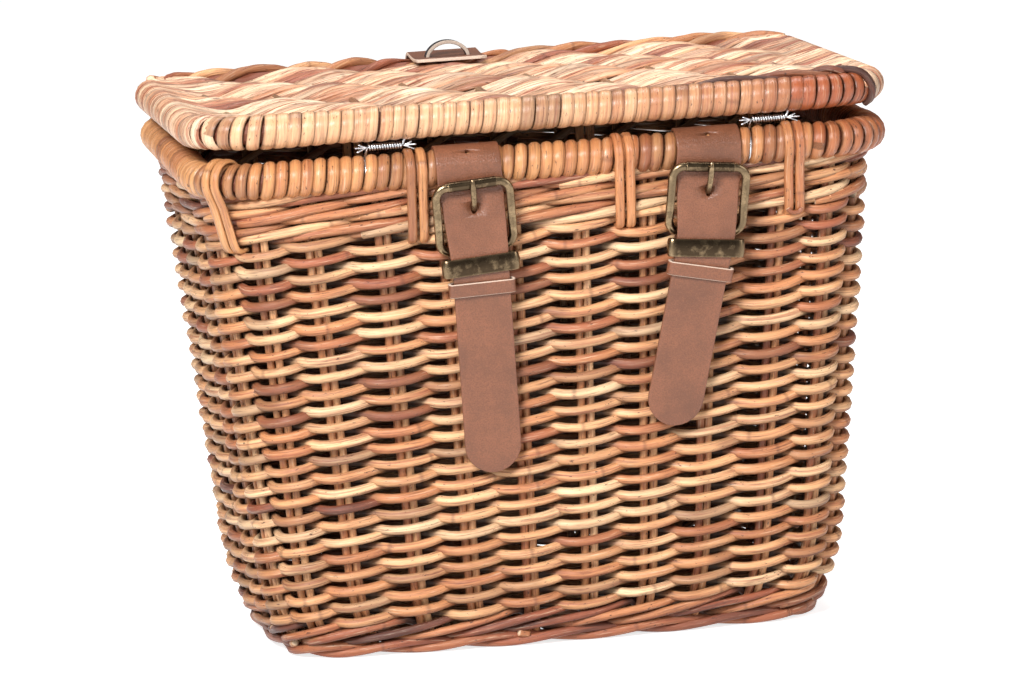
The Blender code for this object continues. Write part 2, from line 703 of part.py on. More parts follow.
def build_hinges(waling, panel):
    """Each hinge is one link wire: a loop round the rim, a straight middle and a loop round the lid bar."""
    rim_loop = RIM_RADIUS + HINGE_LOOP_CLEARANCE + HINGE_WIRE_RADIUS
    lid_loop = LID_RADIUS + HINGE_LOOP_CLEARANCE + HINGE_WIRE_RADIUS
    middle_z = RIM_Z + RIM_RADIUS + LID_GAP_FRONT * HINGE_MIDDLE_SHARE
    middle_y = -(LID_HALF_DEPTH + RIM_HALF_DEPTH) / 2
    for side, x in zip(("left", "right"), HINGE_X):
        reach = COIL_LENGTH / 2 + HINGE_LOOP_CLEARANCE + HINGE_WIRE_RADIUS * 2
        step = HINGE_LOOP_STEP
        rim_turn = loop_points(-RIM_HALF_DEPTH, RIM_Z, rim_loop, 90, 335, x - reach, x - reach - step)
        lid_turn = loop_points(-LID_HALF_DEPTH, LID_Z, lid_loop, -90, 335, x + reach, x + reach + step)
        core = [Vector((x + sign * (reach - HINGE_WIRE_RADIUS), middle_y, middle_z)) for sign in (-1, 1)]
        name = f"{side}_hinge_link"
        points = list(reversed(rim_turn)) + core + lid_turn
        steel = metal(name, (0.62, 0.62, 0.6), 0.35)
        place(name, tube_curve(name, points, HINGE_WIRE_RADIUS, resolution=WIRE_RESOLUTION), steel)
        build_coil(f"{side}_hinge_coil", x, middle_y, middle_z)
        notch = HINGE_LOOP_STEP + 4 * HINGE_WIRE_RADIUS
        centre = Vector((x - reach - HINGE_LOOP_STEP / 2, -RIM_HALF_DEPTH, RIM_Z - rim_loop))
        depth = 2 * (HINGE_WIRE_RADIUS + HINGE_LOOP_CLEARANCE)
        block = box_cutter(f"{side}_rim_notch", (notch, 2 * WALL_THICK, 2 * depth), Matrix.Translation(centre))
        cut(waling, block)
        lid_centre = Vector((x + reach + HINGE_LOOP_STEP / 2, lid_loop - LID_HALF_DEPTH, LID_Z))
        size = (notch, 2 * depth, 4 * LID_RADIUS)
        cut(panel, box_cutter(f"{side}_lid_notch", size, Matrix.Translation(lid_centre)))


def build_coil(name, x, y, z):
    radius = HINGE_WIRE_RADIUS + COIL_CLEARANCE + COIL_WIRE_RADIUS
    steps = COIL_TURNS * COIL_TURN_POINTS
    points = []
    for i in range(steps + 1):
        angle = 2 * math.pi * i / COIL_TURN_POINTS
        along = x - COIL_LENGTH / 2 + COIL_LENGTH * i / steps
        points.append(Vector((along, y + radius * math.cos(angle), z + radius * math.sin(angle))))
    pitch = COIL_LENGTH / COIL_TURNS
    nearest = min((points[i + j] - points[i]).length
                  for i in range(steps - COIL_TURN_POINTS)
                  for j in range(COIL_TURN_POINTS - 2, COIL_TURN_POINTS + 2) if i + j <= steps)
    print(f"{name}: least gap between turns {(min(nearest, pitch) - 2 * COIL_WIRE_RADIUS) * 1000:.2f} mm")
    finish = metal(name, (0.66, 0.66, 0.64), 0.3)
    place(name, tube_curve(name, points, COIL_WIRE_RADIUS, resolution=WIRE_RESOLUTION), finish)


def strap_out():
    """Distance of the strap's middle from the rim's centre line where it hangs past the buckle."""
    face = wall_face(BUCKLE_HEEL_Z)
    stack = SEAT_GAP + 2 * STRAP_THICK + 2 * BUCKLE_BAR_RADIUS + 3 * GAP
    return face + stack + STRAP_THICK / 2


def heel_out():
    return strap_out() - STRAP_THICK / 2 - GAP - STRAP_THICK - GAP - BUCKLE_BAR_RADIUS


def roller_out():
    return strap_out() + STRAP_THICK / 2 + GAP + ROLLER_RADIUS


def metal_keeper_z():
    top = BUCKLE_HEEL_Z - BUCKLE_BAR_RADIUS - METAL_KEEPER_DROP + STRAP_THICK
    return top - METAL_KEEPER_TALL / 2


def tail_bend_z():
    return metal_keeper_z() - METAL_KEEPER_TALL / 2


def tail_line(which):
    """The straight tail's first and last points, as (out, up), down to the middle of its round end."""
    end_z = STRAP_TAIL_END_Z[which]
    end_out = wall_face(end_z) + STRAP_TAIL_STANDOFF + STRAP_THICK / 2
    return (strap_out(), tail_bend_z()), (end_out, end_z)


def strap_shift(which, z):
    """Sideways lean of the strap at height z."""
    upper = min(max(RIM_Z - z, 0), RIM_Z - BUCKLE_HEEL_Z)
    lower = max(BUCKLE_HEEL_Z - z, 0)
    return upper * math.tan(STRAP_BUCKLE_LEAN[which]) + lower * math.tan(STRAP_TAIL_LEAN[which])


def inner_face(which, z):
    """The wall's inner face where it stands furthest in across the strap's width."""
    edges = [STRAP_X[which] + sign * STRAP_TOP_WIDTH / 2 for sign in (-1, 1)]
    return min(wall_face(z, x, outer=False) for x in edges)


def strap_stations(which):
    """From the tail's round end up past the buckle, over the rim, down inside, out through the slot
    and round the buckle's heel bar."""
    narrow = STRAP_TAIL_WIDTH / STRAP_TOP_WIDTH
    half = STRAP_TAIL_WIDTH / 2
    top, end = tail_line(which)
    route = []
    for share in (0.03, 0.15, 0.4, 0.7):
        drop = half * (1 - share)
        width = math.sqrt(half ** 2 - drop ** 2) / half
        z = end[1] + half - drop
        t = (z - end[1]) / (top[1] - end[1])
        route.append((lerp(end[0], top[0], t), z, narrow * width))
    for t_z in spread(end[1] + half, top[1], 4):
        t = (t_z - end[1]) / (top[1] - end[1])
        route.append((lerp(end[0], top[0], t), t_z, narrow))
    out = strap_out()
    roller_z = BUCKLE_HEEL_Z + BUCKLE_TALL
    route.append((out, lerp(tail_bend_z(), roller_z, 0.12), narrow))
    route.append((out, lerp(tail_bend_z(), roller_z, 0.55), narrow))
    route.append((out, roller_z - ROLLER_RADIUS, lerp(narrow, 1, 0.5)))
    radius = RIM_RADIUS + SEAT_GAP + STRAP_THICK / 2
    for degrees in (8, 30, 52, 74, 96, 118, 140, 162, 184):
        angle = math.radians(degrees)
        route.append((radius * math.cos(angle), RIM_Z + radius * math.sin(angle), 1.0))
    stand = STRAP_THICK / 2 + 2 * SEAT_GAP
    slot_z = STRAP_SLOT_Z
    inner_low = slot_z + STRAP_THICK * 1.5
    inner_mid = lerp(inner_low, RIM_Z - RIM_RADIUS, 0.6)
    inner = inner_face(which, inner_low) - stand
    route.append((inner_face(which, inner_mid) - stand, inner_mid, 1.0))
    route.append((inner, inner_low, narrow))
    route.append((inner + STRAP_THICK * 0.5, slot_z + STRAP_THICK * 0.45, narrow))
    route.append((inner + STRAP_THICK * 1.6, slot_z, narrow))
    outer = wall_face(slot_z)
    heel = heel_out()
    back = heel - BUCKLE_BAR_RADIUS - GAP - STRAP_THICK / 2
    route.append((outer - STRAP_THICK * 0.2, slot_z, narrow))
    route.append((back - STRAP_THICK * 0.2, slot_z + STRAP_THICK * 0.7, narrow))
    route.append((back, slot_z + STRAP_THICK * 2.2, narrow))
    fold = BUCKLE_BAR_RADIUS + GAP + STRAP_THICK / 2
    for degrees in (180, 150, 120, 90, 60, 30, 0, -20):
        angle = math.radians(degrees)
        route.append((heel + fold * math.cos(angle), BUCKLE_HEEL_Z + fold * math.sin(angle), narrow))
    folded = 8
    lean = math.tan(STRAP_BUCKLE_LEAN[which])
    level = len(route) - folded
    return [(n, z, share, strap_shift(which, z), lean if i >= level else 0.0)
            for i, (n, z, share) in enumerate(route)]


def strap_section():
    half = STRAP_TOP_WIDTH / 2
    thick = STRAP_THICK / 2
    return [(-half, -thick), (half, -thick), (half, thick), (-half, thick)]


def buckle_frame_matrix(which):
    """Local X along the heel bar, Y in towards the wall and Z up the leaning buckle."""
    lean = STRAP_BUCKLE_LEAN[which]
    x = STRAP_X[which] + strap_shift(which, BUCKLE_HEEL_Z)
    origin = Vector((x, -RIM_HALF_DEPTH, BUCKLE_HEEL_Z))
    columns = (Vector((math.cos(lean), 0, math.sin(lean))), Vector((0, 1, 0)),
               Vector((-math.sin(lean), 0, math.cos(lean))))
    matrix = Matrix.Identity(4)
    for i, column in enumerate(columns):
        matrix.col[i][0:3] = column
    matrix.translation = origin
    return matrix


def band_ring(name, half_width_in, half_thick_in, thick, tall, finish, matrix):
    """A flat strip bent into a rectangular loop, standing tall along its local Z."""
    def rectangle(extra, z):
        a = half_width_in + extra
        b = half_thick_in + extra
        bevel = thick * 0.6
        shape = ((a, -b + bevel), (a, b - bevel), (a - bevel, b), (-a + bevel, b), (-a, b - bevel),
                 (-a, -b + bevel), (-a + bevel, -b), (a - bevel, -b))
        return [matrix @ Vector((x, y, z)) for x, y in shape]

    rings = [rectangle(extra, z * tall / 2) for extra, z in ((thick, -1), (thick, 1), (0, 1), (0, -1))]
    return place(name, mesh_from_rings(name, rings, closed_path=True), finish)


def build_strap(side, which, weave):
    x = STRAP_X[which]

    def to_world(u, n, z):
        return Vector((x + u, -RIM_HALF_DEPTH - n, z))

    name = side + "_strap"
    strap = place(name, sweep(name, strap_stations(which), strap_section(), to_world), leather(name))
    slot_x = x + strap_shift(which, STRAP_SLOT_Z)
    centre = Vector((slot_x, -RIM_HALF_DEPTH - wall_face(STRAP_SLOT_Z) + WALL_THICK / 2, STRAP_SLOT_Z))
    size = (STRAP_TAIL_WIDTH + 2 * STRAP_SLOT_CLEARANCE, WALL_THICK + 2 * CUT_OVERRUN,
            STRAP_THICK + 2 * STRAP_SLOT_CLEARANCE)
    cut(weave, box_cutter(side + "_wall_slot", size, Matrix.Translation(centre)))
    cut_strap_holes(strap, side, which)
    build_buckle(side, which)
    build_keepers(side, which)


def cut_strap_holes(strap, side, which):
    x = STRAP_X[which]
    top_z = RIM_Z + RIM_RADIUS
    turn = Matrix.Rotation(math.radians(90), 4, "X")
    spot = Matrix.Translation((x, -RIM_HALF_DEPTH - strap_out(), top_z - AWL_HOLE_DROP))
    cut(strap, rod_cutter(side + "_awl_hole", AWL_HOLE_RADIUS, RIM_RADIUS, spot @ turn))
    frame = buckle_frame_matrix(which)
    hole_up = BUCKLE_TALL * PRONG_HOLE_SHARE
    spot = frame @ Matrix.Translation((0, -strap_out(), hole_up))
    size = (PRONG_HOLE_WIDTH, STRAP_THICK + CUT_OVERRUN, PRONG_HOLE_HEIGHT)
    cut(strap, box_cutter(side + "_prong_hole", size, spot))
    fold = BUCKLE_BAR_RADIUS + 2 * GAP + STRAP_THICK * 2
    spot = frame @ Matrix.Translation((0, GAP - heel_out(), 0))
    size = (FOLD_NOTCH_WIDTH, 2 * fold, 2 * fold)
    cut(strap, box_cutter(side + "_fold_notch", size, spot))


def build_buckle(side, which):
    frame = buckle_frame_matrix(which)
    brass = (0.20, 0.15, 0.09)
    heel = heel_out()
    top = roller_out()
    half = BUCKLE_WIDTH / 2 - BUCKLE_BAR_RADIUS
    points = []
    shape = outline(half, BUCKLE_TALL / 2, BUCKLE_TOP_CORNER, corner_steps=4,
                    front_radius=BUCKLE_HEEL_CORNER)
    for point in shape:
        up = point.y + BUCKLE_TALL / 2
        points.append(frame @ Vector((point.x, -lerp(heel, top, up / BUCKLE_TALL), up)))
    name = side + "_buckle_frame"
    place(name, tube_curve(name, points, BUCKLE_BAR_RADIUS, True, 2), metal(name, brass, 0.35))

    carrier = guide(side + "_roller_axis", (0, 0, 0))
    carrier.matrix_world = frame @ Matrix.Translation((0, -top, BUCKLE_TALL))
    name = side + "_buckle_roller"
    inner = ROLLER_RADIUS - ROLLER_WALL
    rings = []
    for x, radius in ((-1, ROLLER_RADIUS), (1, ROLLER_RADIUS), (1, inner), (-1, inner)):
        turns = [2 * math.pi * i / 16 for i in range(16)]
        rings.append([Vector((x * ROLLER_LENGTH / 2, radius * math.cos(t), radius * math.sin(t))) for t in turns])
    mesh = mesh_from_rings(name, rings, closed_path=True)
    place(name, mesh, metal(name, brass, 0.3), carrier)

    carrier = guide(side + "_prong_axis", (0, 0, 0))
    carrier.matrix_world = frame @ Matrix.Translation((0, -heel, 0))
    name = side + "_buckle_prong"
    hub = BUCKLE_BAR_RADIUS + PRONG_HUB_CLEARANCE + PRONG_RADIUS
    depth = top - heel + ROLLER_RADIUS + SEAT_GAP + PRONG_RADIUS + hub
    points = []
    for degrees in range(55, -181, -39):
        angle = math.radians(degrees)
        points.append(Vector((0, -hub * math.cos(angle), hub * math.sin(angle))))
    points += [Vector((0, hub - depth * out, BUCKLE_TALL * up)) for out, up in PRONG_SHARES]
    place(name, tube_curve(name, points, PRONG_RADIUS, resolution=2), metal(name, brass, 0.3), carrier)


def build_keepers(side, which):
    frame = buckle_frame_matrix(which)
    up = metal_keeper_z() - BUCKLE_HEEL_Z
    clear_width = BUCKLE_WIDTH / 2 - METAL_KEEPER_THICK * 2
    clear_thick = STRAP_THICK / 2 + KEEPER_CLEARANCE
    spot = frame @ Matrix.Translation((0, -strap_out(), up))
    name = side + "_metal_keeper"
    band_ring(name, clear_width, clear_thick, METAL_KEEPER_THICK, METAL_KEEPER_TALL,
              metal(name, (0.20, 0.15, 0.09), 0.35), spot)
    matrix = tail_matrix(which, tail_bend_z() - LEATHER_KEEPER_DROP - LEATHER_KEEPER_TALL / 2)
    name = side + "_leather_keeper"
    band_ring(name, STRAP_TAIL_WIDTH / 2 + KEEPER_CLEARANCE * 2, clear_thick, LEATHER_KEEPER_THICK,
              LEATHER_KEEPER_TALL, leather(name, (0.36, 0.19, 0.11)), Matrix.Identity(4))
    bpy.data.objects[name].matrix_world = matrix


def tail_matrix(which, z):
    """Local X across the tail, Y in through its face and Z up along it."""
    top, end = tail_line(which)
    t = (z - end[1]) / (top[1] - end[1])
    out = lerp(end[0], top[0], t)
    origin = Vector((STRAP_X[which] + strap_shift(which, z), -RIM_HALF_DEPTH - out, z))
    rise = top[1] - end[1]
    up = Vector((-math.tan(STRAP_TAIL_LEAN[which]), -(top[0] - end[0]) / rise, 1)).normalized()
    across = Vector((1, 0, 0))
    across = (across - up * across.dot(up)).normalized()
    matrix = Matrix.Identity(4)
    for i, column in enumerate((across, up.cross(across), up)):
        matrix.col[i][0:3] = column
    matrix.translation = origin
    return matrix


def latch_height(y):
    """Height of the latch tab's middle over the lid's level, at y from the lid's back bar."""
    start = LID_RADIUS + LATCH_THICK
    t = min(max(1 + (y + start) / LATCH_TAB_LENGTH, 0), 1)
    depth = LID_HALF_DEPTH - LID_RADIUS - GAP
    rise = crown(LATCH_X, depth + y, LID_HALF_WIDTH, depth)
    low = LID_PANEL_ABOVE + SEAT_GAP + LATCH_THICK / 2 + rise
    high = LID_RADIUS + SEAT_GAP + LATCH_THICK * LATCH_BEND_SHARE
    return lerp(low, high, t ** 2)


def build_latch_tab(pivot, back_y, radius):
    half = LATCH_THICK / 2
    start = LID_RADIUS + LATCH_THICK
    stations = []
    for y in spread(-start - LATCH_TAB_LENGTH, -start, 4):
        stations.append((y, latch_height(y), 1.0, 0.0, 0.0))
    for degrees in (105, 82, 58, 34, 10):
        angle = math.radians(degrees)
        stations.append((radius * math.cos(angle), radius * math.sin(angle), 1.0, 0.0, 0.0))
    wide = LATCH_WIDTH / 2
    section = [(-wide, -half), (wide, -half), (wide, half), (-wide, half)]

    def to_world(u, n, z):
        return Vector((LATCH_X + u, back_y + n, z))

    place("latch_tab", sweep("latch_tab", stations, section, to_world), leather("latch_tab"), pivot)


def build_latch_loop(pivot, back_y):
    """A low leather arch that stands on the tab."""
    y = -LID_RADIUS - LATCH_TAB_LENGTH * LATCH_LOOP_PLACE_SHARE
    base = latch_height(y + LATCH_LOOP_DEPTH / 2) + LATCH_THICK / 2 + GAP
    half = LATCH_LOOP_THICK / 2
    reach = LATCH_LOOP_WIDTH / 2 - half
    arch = []
    for degrees in (0, 22, 45, 70, 90, 110, 135, 158, 180):
        angle = math.radians(degrees)
        up = base + (LATCH_LOOP_HEIGHT - half) * math.sin(angle)
        arch.append((reach * math.cos(angle), up, 1.0, 0.0, 0.0))
    deep = LATCH_LOOP_DEPTH / 2
    section = [(-deep, -half), (deep, -half), (deep, half), (-deep, half)]

    def to_world(u, n, z):
        return Vector((LATCH_X + n, back_y + y + u, z))

    mesh = sweep("latch_loop", arch, section, to_world)
    place("latch_loop", mesh, leather("latch_loop", (0.05, 0.04, 0.035)), pivot)


def build_latch_flap(pivot, back_y, radius):
    """The flap hangs from a fold behind the lid's back bar, and has a round hole near its end."""
    half = LATCH_THICK / 2
    hang = guide("latch_fold", (LATCH_X, back_y + radius, 0), (-LID_TILT, 0, 0), pivot)
    rings = []
    for share in (0.0, 0.3, 0.5, LATCH_ROUND_SHARE, 0.86, 0.96, 1.0):
        z = -2 * GAP - LATCH_FLAP_LENGTH * share
        past = max(0, share - LATCH_ROUND_SHARE) / (1 - LATCH_ROUND_SHARE)
        wide = LATCH_WIDTH / 2 * math.sqrt(1 - (1 - LATCH_END_SHARE ** 2) * past ** 2)
        rings.append([Vector((x * wide, y * half, z)) for x, y in ((-1, -1), (1, -1), (1, 1), (-1, 1))])
    item = place("latch_flap", mesh_from_rings("latch_flap", rings), leather("latch_flap"), hang)
    spot = Matrix.Translation((LATCH_X, LID_HALF_DEPTH + radius, LID_BACK_Z - LATCH_HOLE_DROP))
    turn = Matrix.Rotation(math.radians(90), 4, "X")
    cut(item, rod_cutter("flap_hole", LATCH_HOLE_RADIUS, LATCH_THICK * 4, spot @ turn, 16))


def build_latch(pivot):
    back_y = 2 * LID_HALF_DEPTH
    radius = LID_RADIUS + SEAT_GAP + LATCH_THICK / 2
    build_latch_tab(pivot, back_y, radius)
    build_latch_loop(pivot, back_y)
    build_latch_flap(pivot, back_y, radius)


def build_stud():
    """A turned brass stud on the back wall, behind the flap's hole."""
    z = LID_BACK_Z - LATCH_HOLE_DROP
    face = max(wall_face(z + STUD_BASE_RADIUS, LATCH_X), wall_face(z - STUD_BASE_RADIUS, LATCH_X))
    face += RIM_HALF_DEPTH + GAP
    rings = []
    for radius, share in STUD_SHARES:
        turns = [2 * math.pi * i / 16 for i in range(16)]
        y = face + STUD_HEIGHT * share
        rings.append([Vector((LATCH_X + radius * math.cos(t), y, z + radius * math.sin(t))) for t in turns])
    place("latch_stud", mesh_from_rings("latch_stud", rings), metal("latch_stud", (0.3, 0.22, 0.12), 0.35))


def centre_on_origin():
    """Move everything so that the whole box, from the prong's tip to the flap, is centred front to back."""
    front = RIM_HALF_DEPTH + roller_out() + ROLLER_RADIUS + SEAT_GAP + 2 * PRONG_RADIUS
    back = LID_HALF_DEPTH + LID_RADIUS + SEAT_GAP + LATCH_THICK
    for item in bpy.data.objects:
        if item.parent is None:
            item.location.y += (front - back) / 2


clear_scene()
side_weave, top_waling = build_body()
build_rim()
lid_pivot, lid_weave = build_lid()
build_lashings()
build_hinges(top_waling, lid_weave)
for index, side_name in enumerate(("left", "right")):
    build_strap(side_name, index, side_weave)
build_latch(lid_pivot)
build_stud()
centre_on_origin()
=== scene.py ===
import json
import math

import bpy
import numpy as np
from mathutils import Matrix, Vector


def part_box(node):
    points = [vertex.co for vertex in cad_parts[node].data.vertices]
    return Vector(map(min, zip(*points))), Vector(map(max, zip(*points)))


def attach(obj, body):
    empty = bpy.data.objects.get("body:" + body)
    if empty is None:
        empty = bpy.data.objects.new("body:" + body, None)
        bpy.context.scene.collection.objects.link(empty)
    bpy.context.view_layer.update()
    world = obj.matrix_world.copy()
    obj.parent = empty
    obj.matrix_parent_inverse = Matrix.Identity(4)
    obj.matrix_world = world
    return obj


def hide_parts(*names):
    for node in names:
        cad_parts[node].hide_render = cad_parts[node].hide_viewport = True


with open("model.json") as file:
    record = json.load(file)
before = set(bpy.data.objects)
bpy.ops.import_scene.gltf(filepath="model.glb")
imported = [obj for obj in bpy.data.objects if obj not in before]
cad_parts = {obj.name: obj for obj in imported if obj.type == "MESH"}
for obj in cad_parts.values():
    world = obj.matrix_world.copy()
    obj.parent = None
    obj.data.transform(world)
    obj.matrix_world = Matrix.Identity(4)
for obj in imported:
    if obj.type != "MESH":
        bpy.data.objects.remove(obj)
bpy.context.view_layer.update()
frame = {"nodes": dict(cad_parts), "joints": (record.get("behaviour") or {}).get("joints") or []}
bpy.ops.object.select_all(action="DESELECT")

chance = np.random.default_rng(7)
JOINTS = {joint["name"]: joint for joint in frame["joints"]}
SIDES = ("left", "right")
UP = np.array([0.0, 0.0, 1.0])
AWAY = np.array([0.0, 1.0, 0.0])
PLAIN = (0.5, 0.5, 0.5)


def middle(node):
    low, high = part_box(node)
    return (low + high) / 2


def size(node):
    low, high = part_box(node)
    return high - low


# The rim's rod, as the frame gives it, carries the other measures of the body.
RIM_CORE = size("rim_hoop").z / 2
RIM_Z = middle("rim_hoop").z
SET_BACK = middle("rim_hoop").y
RIM_HALF_WIDTH = size("rim_hoop").x / 2 - RIM_CORE
RIM_HALF_DEPTH = size("rim_hoop").y / 2 - RIM_CORE
RIM_FRONT_Y = SET_BACK - RIM_HALF_DEPTH
RIM_RADIUS = size("rim_wrap_left").z / 2
RIM_CORNER = 0.0306

# The wall at its top and its bottom.
WALL_HALF_WIDTH = (RIM_HALF_WIDTH - 0.0020, RIM_HALF_WIDTH - 0.0265)
WALL_HALF_DEPTH = (RIM_HALF_DEPTH - 0.0023, RIM_HALF_DEPTH - 0.0277)
WALL_CORNER = (RIM_CORNER + 0.0042, RIM_CORNER - 0.0061)
WALL_BOW = (0.0020, 0.0060)
WALL_THICK = 0.0094
PINCH_DEPTH = 0.0104
PINCH_HEIGHT = 0.0440
WEAVE_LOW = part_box("side_weave")[0].z
WALING_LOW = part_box("top_waling")[0].z

# Stake pairs: their places along the front and the ends, and round the corners.
FRONT_PAIRS = (-0.715, -0.50, -0.31, -0.105, 0.105, 0.31, 0.50, 0.715)
END_PAIRS = (-0.60, -0.20, 0.20, 0.60)
CORNER_PAIRS = (25.0, 70.0)
PAIRS = 2 * len(FRONT_PAIRS) + 2 * len(END_PAIRS) + 4 * len(CORNER_PAIRS)
STAKE_RADIUS = 0.0020
STAKE_APART = 0.0043
STAKE_DEPTH = -0.0013
STAKE_LEVELS = 26

WEAVER_RADIUS = 0.00235
WEAVER_SWING = 0.0042
WEAVER_TAPER = (1.06, 0.94)
WEAVER_TAIL = 0.35
ROW_PITCH = 0.00405
CROSSING_DIP = (0.0016, 0.0010)
CROSSING_LEAN = 0.0010
BEHIND_RISE = 0.15
STEPS_BETWEEN_PAIRS = 8

# The lid, in its own frame: x along the front bar, y back from it and z up.
LID_TURN = math.radians(-0.9351)
LID_MATRIX = Matrix.Translation(JOINTS["lid_hinge"]["pos_m"]) @ Matrix.Rotation(LID_TURN, 4, "X")
LID_CORE = 0.0057
LID_RADIUS = 0.0078
LID_CORNER = RIM_CORNER + 0.0033
LID_HALF_WIDTH = size("lid_hoop").x / 2 - LID_CORE
LID_HALF_DEPTH = RIM_HALF_DEPTH + 0.0012
LID_BARS = (LID_HALF_WIDTH, LID_HALF_DEPTH, LID_CORNER)
LID_MIDDLE = LID_MATRIX @ Matrix.Translation((0, LID_HALF_DEPTH, 0))


def unit(vectors):
    return vectors / np.maximum(np.linalg.norm(vectors, axis=-1, keepdims=True), 1e-12)


def lerp(low, high, share):
    return low + (high - low) * share


def colour(red, green, blue):
    """A colour as it is seen on a screen, 0 to 255, as the linear value that a shader wants."""
    return tuple((v / 255 / 12.92) if v < 10.3 else ((v / 255 + 0.055) / 1.055) ** 2.4
                 for v in (red, green, blue)) + (1.0,)


def columns(*parts):
    """Points or directions from their parts; a part is one number for all, or one for each."""
    return np.stack(np.broadcast_arrays(*parts), -1)


def raised(flat, z=0.0):
    """Level points or directions, put at a height."""
    return columns(flat[:, 0], flat[:, 1], z)


def swung(first, second, angle):
    """Directions turned by these angles from the first direction towards the second."""
    return first * np.cos(angle)[:, None] + second * np.sin(angle)[:, None]


# Rods, canes, straps and wires are all a section drawn along a path.
def path_frames(path, facing, closed):
    ahead = np.roll(path, -1, 0) - np.roll(path, 1, 0) if closed else np.gradient(path, axis=0)
    along = unit(ahead)
    facing = np.broadcast_to(facing, path.shape)
    out = unit(facing - (facing * along).sum(1, keepdims=True) * along)
    return along, np.cross(out, along), out


def round_section(radius, sides=8):
    turn = 2 * np.pi * np.arange(sides) / sides
    return np.stack([radius * np.cos(turn), radius * np.sin(turn)], 1)


def strip_section(width, thick, crown, points=7):
    """A cane strip: flat below, crowned above."""
    across = np.cos(np.linspace(0.0, np.pi, points))
    above = np.stack([across * width / 2, thick + crown * (1 - np.abs(across) ** 2.6)], 1)
    below = np.array([[-width / 2, 0.0], [0.0, 0.0], [width / 2, 0.0]])
    return np.concatenate([above, below]) - np.array([0.0, thick / 2])


def band_section(width, thick, round_over):
    """A leather strap: a flat band with softened edges."""
    a, b, r = width / 2, thick / 2, round_over
    quarter = [(a, b - r), (a - r * 0.3, b - r * 0.3), (a - r, b), (a - 2.2 * r, b), (a - 2.8 * r, b)]
    quarter.append((a * 0.5, b))
    right = [(x, -y) for x, y in reversed(quarter)] + quarter
    left = [(-x, y) for x, y in reversed(right)]
    return np.array(right + [(0.0, b)] + left + [(0.0, -b)])


def leather_band(width, thick, round_over=0.0004, raw_in=0.0002):
    """A leather band's section and its raw edges. Where the width changes, the soft edges do not."""
    if np.ndim(width) == 0:
        band = band_section(width, thick, round_over)
        return band, (np.abs(band[:, 0]) > width / 2 - raw_in)[None] * 1.0
    band = band_section(1.0, thick, round_over)
    from_middle = np.abs(band[:, 0])
    section = np.repeat(band[None], len(width), 0)
    section[:, :, 0] = np.sign(band[:, 0]) * (width[:, None] / 2 - (0.5 - from_middle))
    inner = from_middle < 0.3
    section[:, inner, 0] = band[None, inner, 0] * width[:, None]
    return section, (from_middle > 0.5 - raw_in)[None] * 1.0


def ends_twice(values):
    return np.concatenate([values[:1], values, values[-1:]])


